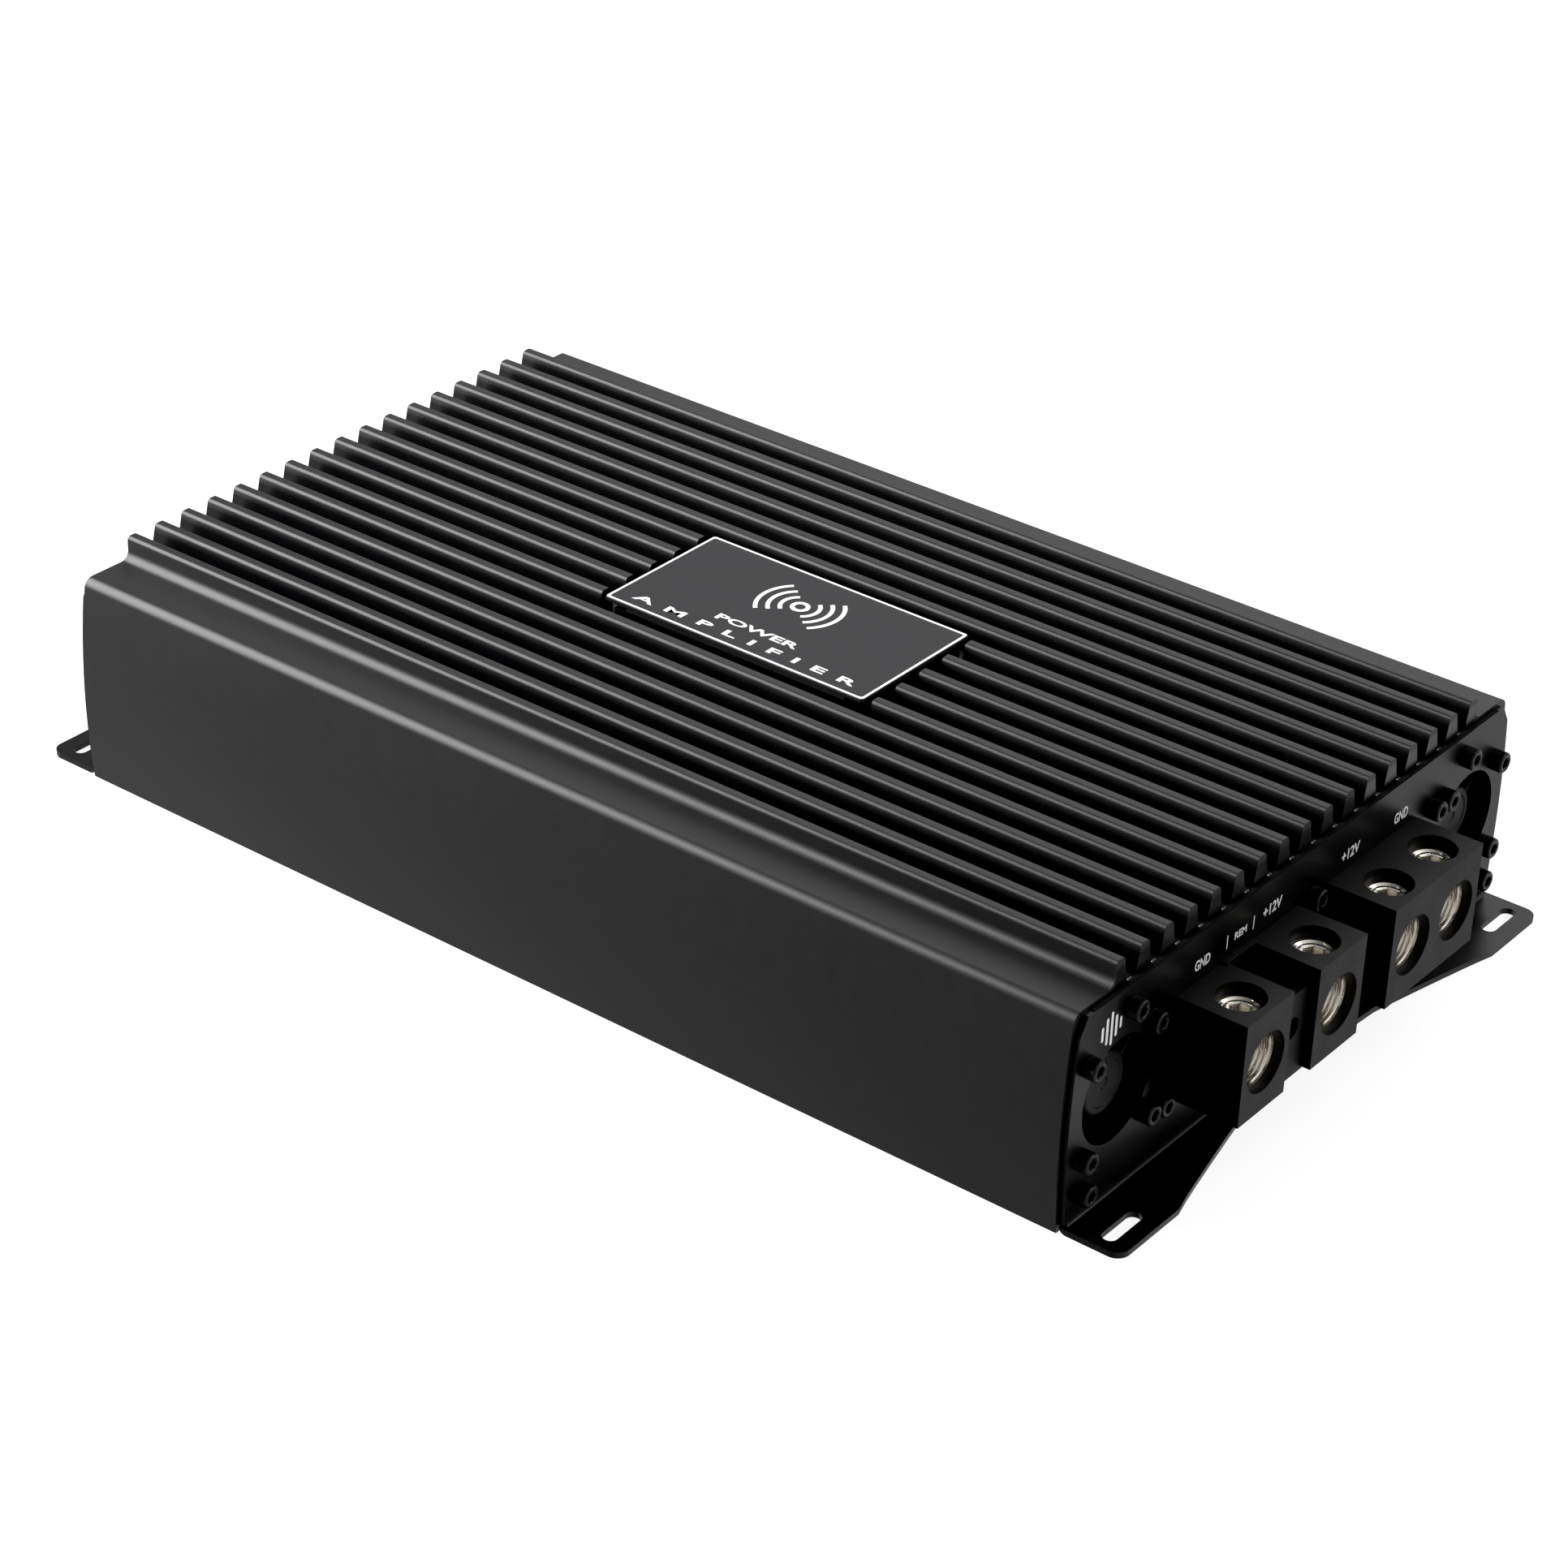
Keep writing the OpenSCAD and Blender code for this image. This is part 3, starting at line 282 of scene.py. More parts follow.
# Dark and light colour, mottles in a metre and roughness, then what differs from a plain plastic
FINISH_ROWS = {
    "black_anodised": ((0.0034, 0.0034, 0.004), (0.0052, 0.0052, 0.006), 170, (0.43, 0.46),
                       dict(grain=2600, relief=0.08, specular=0.64, groove_gloss=0.25)),
    "black_coated_steel": ((0.0022, 0.0022, 0.0026), (0.004, 0.004, 0.0045), 70, (0.30, 0.36),
                           dict(grain=1500, specular=0.4)),
    "nameplate_metal": ((0.018, 0.0185, 0.020), (0.026, 0.0265, 0.029), 60, (0.42, 0.5),
                        dict(metallic=0.2, grain=2600, relief=0.1, specular=0.4)),
    "foam_pad": ((0.02, 0.02, 0.02), (0.03, 0.03, 0.03), 300, (0.9, 1.0), {}),
    "black_moulding": ((0.0035, 0.0035, 0.0035), (0.006, 0.006, 0.006), 120, (0.46, 0.56),
                       dict(grain=1500, relief=0.22, depth=0.04, specular=0.35)),
    "nickel_plate": ((0.74, 0.70, 0.63), (0.88, 0.85, 0.79), 260, (0.12, 0.26),
                     dict(metallic=1, grain=900, relief=0.2, depth=0.05)),
    "fan_plastic": ((0.006, 0.006, 0.006), (0.010, 0.010, 0.010), 150, (0.4, 0.5),
                    dict(grain=1800, relief=0.15, specular=0.35)),
    "black_oxide_steel": ((0.012, 0.012, 0.013), (0.03, 0.03, 0.031), 500, (0.24, 0.36),
                          dict(metallic=0.6, grain=2500, relief=0.2)),
    "zinc_steel": ((0.45, 0.45, 0.43), (0.62, 0.62, 0.6), 300, (0.25, 0.4), dict(metallic=1)),
    "contact_plastic": ((0.7, 0.68, 0.63), (0.8, 0.78, 0.74), 300, (0.3, 0.4), {}),
    "pot_case": ((0.03, 0.06, 0.05), (0.05, 0.09, 0.07), 200, (0.4, 0.55), {}),
    "knob_plastic": ((0.015, 0.015, 0.016), (0.024, 0.024, 0.025), 260, (0.42, 0.52),
                     dict(grain=1900, relief=0.3)),
    "gold_contact": ((0.75, 0.52, 0.18), (0.9, 0.68, 0.3), 500, (0.15, 0.3), dict(metallic=1)),
    "light_lens": ((0.05, 0.2, 0.6), (0.1, 0.3, 0.75), 400, (0.08, 0.15), dict(coat=0.3)),
    "circuit_board": ((0.01, 0.09, 0.035), (0.015, 0.12, 0.05), 250, (0.3, 0.45), {}),
    "brass_standoff": ((0.6, 0.45, 0.18), (0.72, 0.56, 0.26), 300, (0.25, 0.4), dict(metallic=1)),
    "chip_case": ((0.015, 0.015, 0.015), (0.022, 0.022, 0.022), 300, (0.5, 0.65), {}),
    "plain_aluminium": ((0.6, 0.6, 0.61), (0.7, 0.7, 0.71), 100, (0.3, 0.45),
                        dict(metallic=1, stretch=(0.05, 1, 1))),
    "grey_rubber": ((0.4, 0.4, 0.38), (0.5, 0.5, 0.48), 200, (0.8, 0.95), {}),
    "capacitor_sleeve": ((0.02, 0.025, 0.07), (0.03, 0.04, 0.1), 200, (0.2, 0.3), {}),
    "ferrite": ((0.06, 0.07, 0.06), (0.1, 0.11, 0.1), 200, (0.6, 0.8), {}),
    "copper_wire": ((0.5, 0.2, 0.07), (0.75, 0.35, 0.14), 600, (0.2, 0.35), dict(metallic=1)),
    "wire_sleeve": ((0.3, 0.015, 0.015), (0.42, 0.03, 0.03), 300, (0.4, 0.5), {}),
    "printed_ink": ((0.62, 0.62, 0.61), (0.72, 0.72, 0.71), 300, (0.5, 0.62), dict(grain=2600)),
    "bright_metal": ((0.66, 0.66, 0.66), (0.78, 0.78, 0.78), 240, (0.22, 0.32),
                     dict(metallic=1, grain=1800, relief=0.1)),
    # Matte near-black of the painted shade strip, which stands for the shadowed gap over each end plate
    "shade_strip_black": ((0.004, 0.004, 0.004), (0.007, 0.007, 0.007), 400, (0.8, 0.95), dict(specular=0.2)),
}
FINISHES = {name: finish(name, *row[:-1], **row[-1]) for name, row in FINISH_ROWS.items()}

# ---------------------------------------------------------------- CAD nodes, their edges softened

# Edges between faces that turn less than the flat angle vanish, and past the hard angle they are rounded
FLAT_ANGLE = math.radians(0.4)
HARD_ANGLE = math.radians(32)
# Faces that turn less than this many degrees are shaded as one
SMOOTH_ANGLE = 28
SOFT_SMOOTH_ANGLE = 50
ROUND_SMOOTH_ANGLE = 35
TRIM_SMOOTH_ANGLE = 40
PLAIN_SMOOTH_ANGLE = 30

# Points of printing or trim that are closer than this become one
TRIM_WELD = 0.001


def body_of(node):
    for body, members in record["behaviour"]["bodies"].items():
        if node in members:
            return body
    raise KeyError(node)


SLOT_OF = {row["node"]: row["material_slot"] for row in record["subparts"]}


def show(name, mesh, material, body, smooth_angle=SMOOTH_ANGLE):
    """Puts a finished mesh in the scene, on a body."""
    piece = bpy.data.objects.new(name, mesh)
    mesh.materials.clear()
    mesh.materials.append(material)
    for face in mesh.polygons:
        face.use_smooth = True
    mesh.set_sharp_from_angle(angle=math.radians(smooth_angle))
    collection.objects.link(piece)
    weighted = piece.modifiers.new("normals", "WEIGHTED_NORMAL")
    weighted.keep_sharp = True
    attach(piece, body)
    return piece


def stand_in(node, mesh, smooth_angle=SMOOTH_ANGLE):
    """A finished mesh shown in a CAD node's place, with the node's own finish."""
    piece = show(node + "_finished", mesh, FINISHES[SLOT_OF[node]], body_of(node), smooth_angle)
    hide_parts(node)
    return piece


def softened(node, width):
    """The CAD node's own shape with its hard edges rounded off, shown in its place."""
    mesh = bpy.data.meshes.new(node + "_finished")
    shape = bmesh.new()
    shape.from_mesh(frame["nodes"][node].data)
    bmesh.ops.remove_doubles(shape, verts=shape.verts, dist=MERGE_DISTANCE)
    bmesh.ops.dissolve_limit(shape, angle_limit=FLAT_ANGLE, verts=shape.verts, edges=shape.edges)
    hard = [e for e in shape.edges if len(e.link_faces) == 2 and e.calc_face_angle() > HARD_ANGLE]
    bmesh.ops.bevel(shape, geom=hard, offset=width * MM, offset_type="OFFSET", segments=2,
                    profile=0.5, affect="EDGES", clamp_overlap=True)
    shape.to_mesh(mesh)
    shape.free()
    for layer in ("custom_normal", "sharp_edge", "sharp_face"):
        if layer in mesh.attributes:
            mesh.attributes.remove(mesh.attributes[layer])
    return stand_in(node, mesh, SOFT_SMOOTH_ANGLE)


for name, node_object in frame["nodes"].items():
    node_object.data.materials.clear()
    node_object.data.materials.append(FINISHES[SLOT_OF[name]])

# How far each node's hard edges are rounded off
SOFTENED = {
    "heatsink": 0.25, "power_end_plate": 0.3, "control_end_plate": 0.3, "base_plate": 0.3,
    "triple_terminal_block": 0.5, "double_terminal_block": 0.5, "speaker_block": 0.4,
    "remote_insert": 0.2, "speaker_inserts": 0.2,
    "fan_frames": 0.3, "phono_block": 0.3, "phono_shells": 0.15, "phono_contacts": 0.15,
    "gain_knob": 0.12, "low_pass_knob": 0.12, "subsonic_knob": 0.12, "bass_boost_knob": 0.12,
    "phase_slider": 0.12, "mode_slider": 0.12, "remote_level_socket": 0.2, "indicator_lights": 0.4,
    "base_screws": 0.1,
}
for name, width in SOFTENED.items():
    softened(name, width)

# ---------------------------------------------------------------- helpers for the made pieces

# Distance of both end plates' outer faces from the middle
PLATE_FACE = 199.0
# Levels of the printed ink, from just inside the face to its top
INK = (-0.02, 0.05)
# Share of a font's size that its capitals fill, and the share that strokes are thickened by
CAPITAL_SHARE = 0.72
STROKE_WEIGHT = 0.03
ROUND_END_STEPS = 5
ARC_STEPS = 24


def ring_stack(rings):
    """Vertices and faces of a closed tube whose cross-sections are the rings."""
    count = len(rings[0])
    points = [p for ring in rings for p in ring]
    faces = []
    for level in range(len(rings) - 1):
        low, high = level * count, (level + 1) * count
        for i in range(count):
            j = (i + 1) % count
            faces.append((low + i, low + j, high + j, high + i))
    last = (len(rings) - 1) * count
    faces.append(tuple(reversed(range(count))))
    faces.append(tuple(range(last, last + count)))
    return points, faces


def moved(part, change):
    """A part with each of its points put through a function."""
    points, faces = part
    return [change(p) for p in points], faces


def mesh_of(name, parts, weld=0.0):
    """A mesh in metres from parts in millimetres, its faces turned outwards."""
    points, faces = [], []
    for some_points, some_faces in parts:
        start = len(points)
        points.extend(Vector(p) * MM for p in some_points)
        faces.extend(tuple(start + i for i in face) for face in some_faces)
    mesh = bpy.data.meshes.new(name)
    mesh.from_pydata(points, [], faces)
    shape = bmesh.new()
    shape.from_mesh(mesh)
    if weld:
        bmesh.ops.remove_doubles(shape, verts=shape.verts, dist=weld * MM)
    bmesh.ops.recalc_face_normals(shape, faces=shape.faces)
    shape.to_mesh(mesh)
    shape.free()
    return mesh


def slab(outline, low, high, ease=0.0):
    """An upright prism over a closed outline, its top edge eased by a small chamfer."""
    count = len(outline)
    middle = Vector((sum(p[0] for p in outline), sum(p[1] for p in outline))) / count
    rings = [[(x, y, low) for x, y in outline], [(x, y, high - ease) for x, y in outline]]
    if ease:
        top = []
        for x, y in outline:
            inward = middle - Vector((x, y))
            inward = inward.normalized() * ease
            top.append((x + inward.x, y + inward.y, high))
        rings.append(top)
    return ring_stack(rings)


def band(outer, inner, low, high):
    """A flat closed frame between two outlines with as many points."""
    count = len(outer)
    points = [(x, y, z) for z in (low, high) for line in (outer, inner) for x, y in line]
    faces = []
    for i in range(count):
        j = (i + 1) % count
        for a, b in ((0, 1), (1, 3), (3, 2), (2, 0)):
            faces.append((a * count + i, a * count + j, b * count + j, b * count + i))
    return points, faces


def rounded_bar(x, y, width, height, low, high):
    """A flat bar with round ends, standing along Y."""
    r = width / 2
    reach = max(height / 2 - r, 0)
    outline = []
    for turn, side in ((0, 1), (math.pi, -1)):
        for i in range(ROUND_END_STEPS + 1):
            a = turn + math.pi * i / ROUND_END_STEPS
            outline.append((x + r * math.cos(a), y + side * reach + r * math.sin(a)))
    return slab(outline, low, high)


def arc_band(x, y, radius, width, a0, a1, low, high):
    """A flat stroke along an arc, angles in degrees."""
    steps = ARC_STEPS
    outline = []
    for r, turn in ((radius + width / 2, 1), (radius - width / 2, -1)):
        for i in range(steps + 1):
            t = i / steps if turn > 0 else 1 - i / steps
            a = math.radians(a0 + (a1 - a0) * t)
            outline.append((x + r * math.cos(a), y + r * math.sin(a)))
    points = [(px, py, z) for z in (low, high) for px, py in outline]
    count = len(outline)
    faces = []
    for i in range(steps):
        a, b = i, i + 1
        c, d = count - 2 - i, count - 1 - i
        faces.append((a, b, c, d))
        faces.append((count + a, count + b, count + c, count + d))
        faces.append((a, b, count + b, count + a))
        faces.append((c, d, count + d, count + c))
    for i, j in ((steps, steps + 1), (count - 1, 0)):
        faces.append((i, j, count + j, count + i))
    return points, faces


def words(text, x, y, height, low, high, spacing=1.0, width=None):
    """Plain capitals of a stated height, centred at x and y, between two levels."""
    curve = bpy.data.curves.new("words", "FONT")
    curve.body = text
    curve.size = height / CAPITAL_SHARE
    curve.space_character = spacing
    curve.align_x = "CENTER"
    curve.offset = STROKE_WEIGHT * curve.size
    curve.extrude = (high - low) / 2
    curve.resolution_u = 3
    letters = bpy.data.objects.new("words", curve)
    collection.objects.link(letters)
    bpy.context.view_layer.update()
    mesh = bpy.data.meshes.new_from_object(letters.evaluated_get(bpy.context.evaluated_depsgraph_get()))
    bpy.data.objects.remove(letters)
    spots = [v.co for v in mesh.vertices]
    left, right = min(p.x for p in spots), max(p.x for p in spots)
    scale = width / (right - left) if width else 1.0
    centre = (left + right) / 2
    points = [(x + (p.x - centre) * scale, y + p.y - height / 2, (low + high) / 2 + p.z) for p in spots]
    faces = [tuple(face.vertices) for face in mesh.polygons]
    bpy.data.meshes.remove(mesh)
    bpy.data.curves.remove(curve)
    return points, faces


def at_power_end(p):
    """From right, up and out on a drawing to the face of the +X end plate."""
    return (PLATE_FACE + p[2], p[0], p[1])


def at_signal_end(p):
    """From right, up and out on a drawing to the face of the -X end plate."""
    return (-PLATE_FACE - p[2], -p[0], p[1])


def show_trim(name, parts, material):
    """Printing or bright trim on the chassis, as one piece."""
    show(name, mesh_of(name, parts, weld=TRIM_WELD), material, "chassis", TRIM_SMOOTH_ANGLE)


# ---------------------------------------------------------------- nameplate

NAMEPLATE_LENGTH = 104.8
NAMEPLATE_WIDTH = 56.8
NAMEPLATE_CORNER = 0.7
NAMEPLATE_FOOT = 80.9
NAMEPLATE_TOP = 82.42
# Bright lines start just under the plate's face and stand proud of it
RELIEF = (NAMEPLATE_TOP - 0.02, 82.5)

EMBLEM_Y = 7.5
# Radius and half the spread in degrees of each sound wave
SOUND_WAVES = ((6.6, 52), (10.6, 48), (14.6, 44))


def plate_line(inset):
    """Nameplate outline with cut corners, drawn in by inset."""
    half_x, half_y = NAMEPLATE_LENGTH / 2 - inset, NAMEPLATE_WIDTH / 2 - inset
    line = []
    for sx, sy in ((1, -1), (1, 1), (-1, 1), (-1, -1)):
        near = (sx * (half_x - NAMEPLATE_CORNER), sy * half_y)
        far = (sx * half_x, sy * (half_y - NAMEPLATE_CORNER))
        line.extend((near, far) if sx * sy < 0 else (far, near))
    return line


def build_nameplate():
    """The plate with eased edges."""
    foot, top = NAMEPLATE_FOOT, NAMEPLATE_TOP
    levels = [(foot, 0.15), (foot + 0.15, 0.0), (top - 0.2, 0.0), (top, 0.2)]
    rings = [[(x, y, z) for x, y in plate_line(inset)] for z, inset in levels]
    stand_in("nameplate", mesh_of("nameplate_finished", [ring_stack(rings)]))


def build_nameplate_trim():
    """Border, a plain sign for sound and the two words for what the object is."""
    parts = [band(plate_line(0.25), plate_line(1.2), *RELIEF)]
    parts.append(arc_band(0, EMBLEM_Y, 2.6, 1.6, 0, 360, *RELIEF))
    for radius, spread in SOUND_WAVES:
        for turn in (0, 180):
            parts.append(arc_band(0, EMBLEM_Y, radius, 1.5, turn - spread, turn + spread, *RELIEF))
    parts.append(words("POWER", 0, -14.6, 3.6, *RELIEF, width=33))
    parts.append(words("AMPLIFIER", 0, -21.8, 3.6, *RELIEF, spacing=1.9, width=90))
    show_trim("nameplate_trim", parts, FINISHES["bright_metal"])


build_nameplate()
build_nameplate_trim()

# ---------------------------------------------------------------- printed legends

# Text, its middle in Y, its foot in Z, its height and its width
POWER_WORDS = (
    ("GND", -57, 62.0, 3.5, 8.2), ("REM", -36.6, 62.4, 2.5, 6.6), ("+12V", -19.2, 62.9, 3.7, 10.4),
    ("+12V", 25.4, 61.5, 3.7, 10.4), ("GND", 55.3, 61.0, 3.7, 8.2),
)
REMOTE_BARS_Y = (-43.9, -29.5)
REMOTE_BARS_Z = 62.3

# A plain sign for sound: the heights of its bars, as shares of the tallest
LEVEL_SHARES = (0.45, 0.8, 1.0, 0.65, 0.35)

# Y and Z of each knob's axis, its name, and the two ends of its scale
KNOBS = {
    "gain_knob": (-60, 48, "GAIN", "MIN", "MAX"), "low_pass_knob": (-42, 48, "LOW PASS", "50", "250"),
    "subsonic_knob": (-60, 28, "SUBSONIC", "10", "50"), "bass_boost_knob": (-42, 28, "BASS", "0", "+9"),
}
SCALE_STEPS = 5
SCALE_STEP_ANGLE = 28
DOT_SIZE = 0.42

# Text, its middle in Y, its foot in Z and its height
PANEL_WORDS = (
    ("PHASE", -20, 63.6, 1.9), ("0", -13.7, 59, 1.6), ("180", -27.2, 59, 1.6),
    ("MODE", -42, 67.3, 1.9), ("MASTER", -32.6, 62.5, 1.5), ("SLAVE", -50.6, 62.5, 1.5),
    ("LINE IN", -12.5, 50.6, 1.9), ("LINE OUT", -12.5, 16.4, 1.9), ("SPEAKER", 49, 51.8, 2.2),
)
LAMP_WORDS = (("REMOTE LEVEL", 30, 64.4, 1.7), ("PWR", -2.3, 65.0, 1.3), ("PRT", -8.7, 65.0, 1.3))

SPEAKER_TERMINALS_Y = (16.5, 29.5, 42.5, 55.5)
SIGN_Z = 48.2
SIGN_HALF_LENGTH = 1.1
SIGN_HALF_STROKE = 0.22


def level_sign(x, y, width, height):
    """Bars of different heights, side by side."""
    pitch = width / len(LEVEL_SHARES)
    middle = (len(LEVEL_SHARES) - 1) / 2
    return [rounded_bar(x + (i - middle) * pitch, y, pitch * 0.5, height * share, *INK)
            for i, share in enumerate(LEVEL_SHARES)]


def build_power_legends():
    parts = [words(text, y, z, height, *INK, width=width) for text, y, z, height, width in POWER_WORDS]
    parts.extend(rounded_bar(y, REMOTE_BARS_Z, 0.5, 4.8, *INK) for y in REMOTE_BARS_Y)
    parts.extend(level_sign(-104, 62.6, 11.5, 11.4))
    show_trim("power_end_legends", [moved(part, at_power_end) for part in parts], FINISHES["printed_ink"])


def panel_words(rows):
    return [words(text, -y, z, height, *INK) for text, y, z, height in rows]


def knob_scale(y, z, title, low, high):
    """A knob's name, the ends of its scale and an arc of dots, longer at the ends and the middle."""
    parts = panel_words((
        (title, y, z + 9.6, 1.9), (low, y + 5.6, z - 8.0, 1.4), (high, y - 5.6, z - 8.0, 1.4),
    ))
    for step in range(-SCALE_STEPS, SCALE_STEPS + 1):
        a = math.radians(90 - step * SCALE_STEP_ANGLE)
        for reach in (6.7, 7.1) if step % SCALE_STEPS else (6.7, 7.1, 7.5):
            x, up = -y + reach * math.cos(a), z + reach * math.sin(a)
            parts.append(rounded_bar(x, up, DOT_SIZE, DOT_SIZE, *INK))
    return parts


def flat_box(x, y, half_x, half_y):
    corners = ((-1, -1), (1, -1), (1, 1), (-1, 1))
    return slab([(x + half_x * a, y + half_y * b) for a, b in corners], *INK)


def terminal_signs():
    """Minus signs, and plus signs over every other speaker terminal."""
    parts = []
    for i, y in enumerate(SPEAKER_TERMINALS_Y):
        parts.append(flat_box(-y, SIGN_Z, SIGN_HALF_LENGTH, SIGN_HALF_STROKE))
        if i % 2 == 0:
            for half in (-1, 1):
                parts.append(flat_box(-y, SIGN_Z + half * 0.67, SIGN_HALF_STROKE, 0.43))
    return parts


def build_signal_legends():
    parts = []
    for row in KNOBS.values():
        parts.extend(knob_scale(*row))
    parts.extend(panel_words(PANEL_WORDS) + terminal_signs() + panel_words(LAMP_WORDS))
    show_trim("signal_end_legends", [moved(part, at_signal_end) for part in parts], FINISHES["printed_ink"])


def build_pointers():
    """A white line let into each knob's slot."""
    face = 8.35
    for knob, (y, z, *_) in KNOBS.items():
        part = moved(rounded_bar(-y, z + 2.95, 0.62, 3.7, face - 0.7, face), at_signal_end)
        mesh = mesh_of(knob + "_pointer", [part])
        show(knob.replace("knob", "pointer"), mesh, FINISHES["printed_ink"], knob, TRIM_SMOOTH_ANGLE)


build_power_legends()
build_signal_legends()
build_pointers()

# ---------------------------------------------------------------- painted shade strip along the end plates and painted highlights at the groove ends

SHADE_STRIP_HALF_LENGTH = 113.5
# Distance from the middle and height of each corner of the section of the painted shade strip
SHADE_STRIP_SECTION = (
    (197.05, 72.6), (198.75, 72.6), (198.75, 73.15), (198.5, 73.3), (197.3, 73.3), (197.05, 73.15),
)

FIN_COUNT = 17
FIN_PITCH = 12.35
GROOVES = [(i - (FIN_COUNT - 2) / 2) * FIN_PITCH for i in range(FIN_COUNT - 1)]
GROOVE_END = 196.45
GROOVE_FLOOR = 72.75
# Half width, half length and steps round of each painted highlight patch at a groove's end
HIGHLIGHT_HALF_WIDTH = 1.1
HIGHLIGHT_HALF_LENGTH = 0.5
HIGHLIGHT_STEPS = 12


# Painted shade: a matte black strip on the end plate's top edge, standing for the shadowed gap between the
# plate and the fin ends
def build_shade_strip(side, name):
    ends = [[(side * x, y, z) for x, z in SHADE_STRIP_SECTION] for y in (-SHADE_STRIP_HALF_LENGTH, SHADE_STRIP_HALF_LENGTH)]
    mesh = mesh_of(name, [ring_stack(ends)])
    show(name, mesh, FINISHES["shade_strip_black"], "chassis", PLAIN_SMOOTH_ANGLE)


def build_groove_end_highlights():
    """Painted highlights: small bright metal patches where the groove floors meet the end plates, standing
    for the glints there.
    """
    turns = [2 * math.pi * i / HIGHLIGHT_STEPS for i in range(HIGHLIGHT_STEPS)]
    parts = []
    for side in (-1, 1):
        for y in GROOVES:
            outline = [(y + HIGHLIGHT_HALF_WIDTH * math.cos(a), HIGHLIGHT_HALF_LENGTH * math.sin(a)) for a in turns]
            part = slab(outline, 0, 0.12, 0.1)
            parts.append(moved(part, lambda p: (side * (GROOVE_END + p[1]), p[0], GROOVE_FLOOR + p[2])))
    mesh = mesh_of("groove_end_highlights", parts)
    show("groove_end_highlights", mesh, FINISHES["bright_metal"], "chassis", PLAIN_SMOOTH_ANGLE)


build_shade_strip(1, "power_end_shade_strip")
build_shade_strip(-1, "signal_end_shade_strip")
build_groove_end_highlights()

# ---------------------------------------------------------------- cap screws with knurled heads

HEAD_RADIUS = 3.5
HEAD_HEIGHT = 4.3
SHANK_RADIUS = 1.95
SOCKET_RADIUS = 1.9
KNURLS = 36
KNURL_DEPTH = 0.16
KNURL_STEPS = 144

# Node, length under the head, and the end that the screws are at
CAP_SCREWS = (("fan_screws", 20, 1), ("power_end_screws", 12, 1), ("control_end_screws", 12, -1))


def hexagon(radius, a):
    """Distance from the centre to a hexagon's side at an angle."""
    return radius * math.cos(math.pi / 6) / math.cos(a % (math.pi / 3) - math.pi / 6)


def polar(x, radius_at, steps=KNURL_STEPS):
    """A ring round the X axis whose radius depends on the angle."""
    turns = [2 * math.pi * i / steps for i in range(steps)]
    return [(x, radius_at(a) * math.cos(a), radius_at(a) * math.sin(a)) for a in turns]


def cap_screw(y, z, length, side):
    """Socket head screw: shank, knurled head, eased rim and a hexagon socket."""

    def round_of(r):
        return lambda a: r

    def knurl(depth):
        return lambda a: HEAD_RADIUS - depth * (0.5 - 0.5 * math.cos(KNURLS * a))

    def socket(mix, r):
        return lambda a: mix * hexagon(SOCKET_RADIUS, a) + (1 - mix) * r

    top = HEAD_HEIGHT
    rings = [
        polar(-length, round_of(1.5)), polar(-length + 0.5, round_of(SHANK_RADIUS)),
        polar(-0.02, round_of(SHANK_RADIUS)),
        polar(0, round_of(3.2)), polar(0.25, knurl(0.0)), polar(0.45, knurl(KNURL_DEPTH)),
        polar(top - 0.75, knurl(KNURL_DEPTH)), polar(top - 0.55, knurl(0.02)),
        polar(top - 0.3, round_of(3.36)),
        polar(top - 0.08, round_of(3.1)), polar(top, round_of(2.85)),
        polar(top, round_of(2.2)), polar(top - 0.2, socket(0.5, 1.95)), polar(top - 0.35, socket(1, 0)),
        polar(top - 2.3, socket(1, 0)), polar(top - 2.5, round_of(1.2)),
    ]
    return moved(ring_stack(rings), lambda p: (side * (PLATE_FACE + p[0]), y + p[1], z + p[2]))


def screw_places(node):
    """Y and Z of each screw of a node, from its separate solids."""
    shape = bmesh.new()
    shape.from_mesh(frame["nodes"][node].data)
    bmesh.ops.remove_doubles(shape, verts=shape.verts, dist=MERGE_DISTANCE)
    left = set(shape.verts)
    places = []
    while left:
        first = left.pop()
        island, edge = {first}, [first]
        while edge:
            v = edge.pop()
            for e in v.link_edges:
                other = e.other_vert(v)
                if other in left:
                    left.discard(other)
                    island.add(other)
                    edge.append(other)
        ys = [v.co.y / MM for v in island]
        zs = [v.co.z / MM for v in island]
        places.append(((min(ys) + max(ys)) / 2, (min(zs) + max(zs)) / 2))
    shape.free()
    return sorted(places)


for node, length, side in CAP_SCREWS:
    heads = [cap_screw(y, z, length, side) for y, z in screw_places(node)]
    stand_in(node, mesh_of(node + "_finished", heads), ROUND_SMOOTH_ANGLE)

# ---------------------------------------------------------------- clamp screws

# Names of the nodes of each power terminal, with the kind of piece left open
POWER_TERMINALS = ("ground_{}_a", "positive_{}_a", "positive_{}_b", "ground_{}_b")

# Radius, length and socket radius
POWER_CLAMP = (5.6, 5.2, 3.46)
REMOTE_CLAMP = (1.95, 5.0, 1.15)
SPEAKER_CLAMP = (2.5, 4.3, 1.7)
SPEAKER_TERMINALS = 4
THREAD_TURNS = 4
CLAMP_STEPS = 96


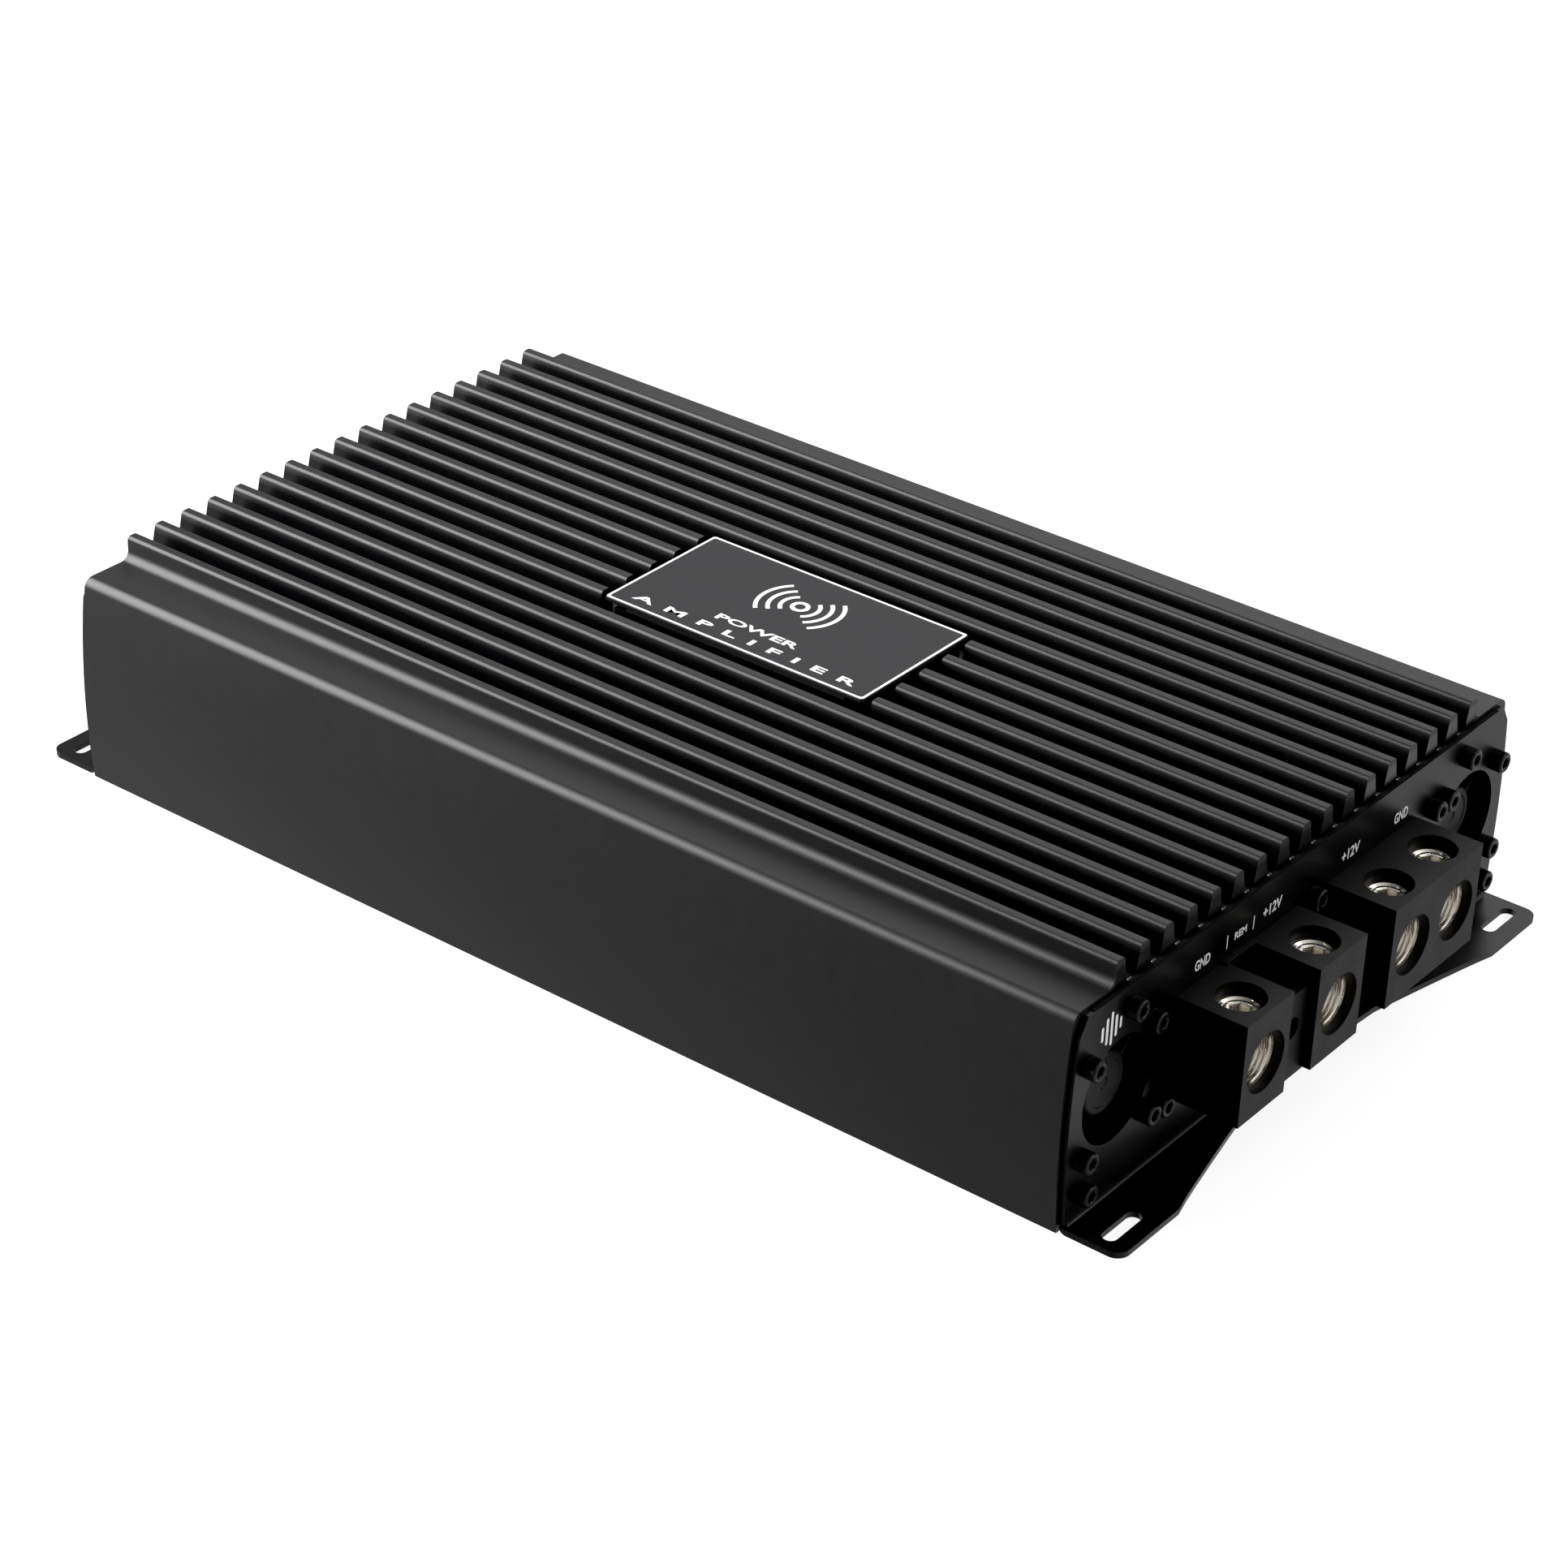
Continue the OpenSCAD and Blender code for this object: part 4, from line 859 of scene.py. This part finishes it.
def clamp_screw(node, radius, length, socket_radius):
    """Set screw with an eased rim, a hexagon socket and a few turns of thread showing in relief."""
    low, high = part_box(node)
    x, y = (low[0] + high[0]) / 2 / MM, (low[1] + high[1]) / 2 / MM
    top, foot = high[2] / MM, low[2] / MM

    def disc(z, radius_at):
        return [(x + p[1], y + p[2], z) for p in polar(0, radius_at, CLAMP_STEPS)]

    rim = radius * 0.09
    mouth = socket_radius * 1.08
    rings = [disc(foot, lambda a: radius - 2 * rim), disc(foot + rim, lambda a: radius)]
    for i in range(THREAD_TURNS):
        z = foot + rim + (top - rim * 1.4 - foot - rim) * (i + 0.5) / THREAD_TURNS
        gap = (top - foot) / THREAD_TURNS * 0.22
        rings.append(disc(z - gap, lambda a: radius))
        rings.append(disc(z, lambda a: radius - 0.35 * min(1.0, radius / 4)))
        rings.append(disc(z + gap, lambda a: radius))
    rings.extend([
        disc(top - rim * 1.2, lambda a: radius), disc(top - rim * 0.3, lambda a: radius - rim),
        disc(top, lambda a: radius - rim * 1.5), disc(top, lambda a: mouth),
        disc(top - 0.25, lambda a: hexagon(socket_radius, a)),
        disc(top - length * 0.58, lambda a: hexagon(socket_radius, a)),
        disc(top - length * 0.66, lambda a: socket_radius * 0.45),
    ])
    stand_in(node, mesh_of(node + "_finished", [ring_stack(rings)]), PLAIN_SMOOTH_ANGLE)


for terminal in POWER_TERMINALS:
    clamp_screw(terminal.format("clamp_screw"), *POWER_CLAMP)
clamp_screw("remote_clamp_screw", *REMOTE_CLAMP)
for i in range(SPEAKER_TERMINALS):
    clamp_screw(f"speaker_clamp_screw_{i + 1}", *SPEAKER_CLAMP)

# ---------------------------------------------------------------- power inserts with ridged cable bores

INSERT_SOFTENING = 0.25
BORE_RADIUS = 8.6
BORE_LENGTH = 17.0
CABLE_Z = 38.0
RIDGES = 11
RIDGE_HEIGHT = 0.34
LINER_STEPS = 64
# The liner leaves out the quarter of the bore that the clamp screw comes through
LINER_START = math.radians(135)
LINER_TURN = math.radians(270)


def ridged_liner(y, start, end):
    """Rings left by boring, all round the bore apart from the clamp screw's way through."""
    pitch = (end - start) / RIDGES
    profile = [(start, BORE_RADIUS + 0.15)]
    for i in range(RIDGES):
        x = start + i * pitch
        profile.extend([
            (x + 0.12 * pitch, BORE_RADIUS - 0.02), (x + 0.5 * pitch, BORE_RADIUS - RIDGE_HEIGHT),
            (x + 0.88 * pitch, BORE_RADIUS - 0.02),
        ])
    profile.append((end, BORE_RADIUS + 0.15))
    rings = []
    for i in range(LINER_STEPS + 1):
        a = LINER_START + LINER_TURN * i / LINER_STEPS
        rings.append([(x, y + r * math.cos(a), CABLE_Z + r * math.sin(a)) for x, r in profile])
    return ring_stack(rings)


def build_insert(node):
    """A power terminal's metal with softened edges and a ridged liner in its cable bore."""
    low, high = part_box(node)
    y = (low[1] + high[1]) / 2 / MM
    front = high[0] / MM
    piece = softened(node, INSERT_SOFTENING)
    shape = bmesh.new()
    shape.from_mesh(piece.data)
    liner = mesh_of(node + "_liner", [ridged_liner(y, front - BORE_LENGTH + 0.3, front - 0.5)])
    shape.from_mesh(liner)
    bpy.data.meshes.remove(liner)
    shape.to_mesh(piece.data)
    shape.free()
    for face in piece.data.polygons:
        face.use_smooth = True
    piece.data.set_sharp_from_angle(angle=math.radians(SOFT_SMOOTH_ANGLE))


for terminal in POWER_TERMINALS:
    build_insert(terminal.format("insert"))

# ---------------------------------------------------------------- fan rotors

BLADES = 7
HUB_RADIUS = 10.4
HUB_BORE_RADIUS = 9.2
HUB_DEPTH = 15.1
HUB_FLOOR = 1.6
HUB_STEPS = 64
SHAFT_RADIUS = 1.0
TIP_RADIUS = 17.9
BLADE_SPANS = 6
BLADE_CHORDS = 12


def blade_part(turn, front):
    """One curved, twisted blade, thickest in the middle and eased to a thin edge."""
    spans, chords = BLADE_SPANS, BLADE_CHORDS
    sides = ([], [])
    for i in range(spans + 1):
        s = i / spans
        r = HUB_RADIUS - 0.6 + (TIP_RADIUS - HUB_RADIUS + 0.6) * s
        for j in range(chords + 1):
            t = j / chords - 0.5
            bow = 1.5 * (1 - 4 * t * t)
            depth = 12.6 - 1.6 * s
            across = t * (9.2 + 4.4 * s) + 2.6 * s * s
            a = turn + (across + bow) / r
            x = front - 7.6 + t * depth - bow * 0.6
            half = 0.18 + 0.36 * (1 - 4 * t * t) * (1 - 0.4 * s)
            for side, points in zip((-1, 1), sides):
                b = a + side * half * 0.72 / r
                points.append((x - side * half * 0.7, r * math.cos(b), r * math.sin(b)))
    count = chords + 1
    total = (spans + 1) * count
    faces = []
    for i in range(spans):
        for j in range(chords):
            a, b, c, d = i * count + j, i * count + j + 1, (i + 1) * count + j + 1, (i + 1) * count + j
            faces.append((a, b, c, d))
            faces.append((total + d, total + c, total + b, total + a))
    rim = list(range(count)) + [i * count + chords for i in range(1, spans + 1)]
    rim += [spans * count + j for j in range(chords - 1, -1, -1)]
    rim += [i * count for i in range(spans - 1, 0, -1)]
    for i, a in enumerate(rim):
        b = rim[(i + 1) % len(rim)]
        faces.append((a, b, total + b, total + a))
    return sides[0] + sides[1], faces


def build_rotor(node):
    """Hollow hub with a dished face, its shaft and its blades."""
    low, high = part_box(node)
    y, z = (low[1] + high[1]) / 2 / MM, (low[2] + high[2]) / 2 / MM
    shaft_end, front = low[0] / MM, high[0] / MM
    back, floor = front - HUB_DEPTH, front - HUB_FLOOR

    def disc(x, r):
        return polar(x, lambda a: r, HUB_STEPS)

    hub = ring_stack([
        disc(shaft_end, 0.8), disc(shaft_end + 0.2, SHAFT_RADIUS), disc(floor, SHAFT_RADIUS),
        disc(floor, HUB_BORE_RADIUS), disc(back, HUB_BORE_RADIUS), disc(back, HUB_RADIUS - 0.3),
        disc(back + 0.3, HUB_RADIUS), disc(front - 1.3, HUB_RADIUS),
        disc(front - 0.6, HUB_RADIUS - 0.22), disc(front - 0.16, HUB_RADIUS - 0.75),
        disc(front, HUB_RADIUS - 1.4), disc(front, 7.8), disc(front - 0.35, 7.5), disc(front - 0.35, 1.9),
        disc(front - 0.7, 1.6), disc(front - 0.7, 0.6),
    ])
    blades = [blade_part(2 * math.pi * i / BLADES, front) for i in range(BLADES)]
    parts = [moved(part, lambda p: (p[0], p[1] + y, p[2] + z)) for part in [hub] + blades]
    stand_in(node, mesh_of(node + "_finished", parts), ROUND_SMOOTH_ANGLE)


build_rotor("left_fan_rotor")
build_rotor("right_fan_rotor")
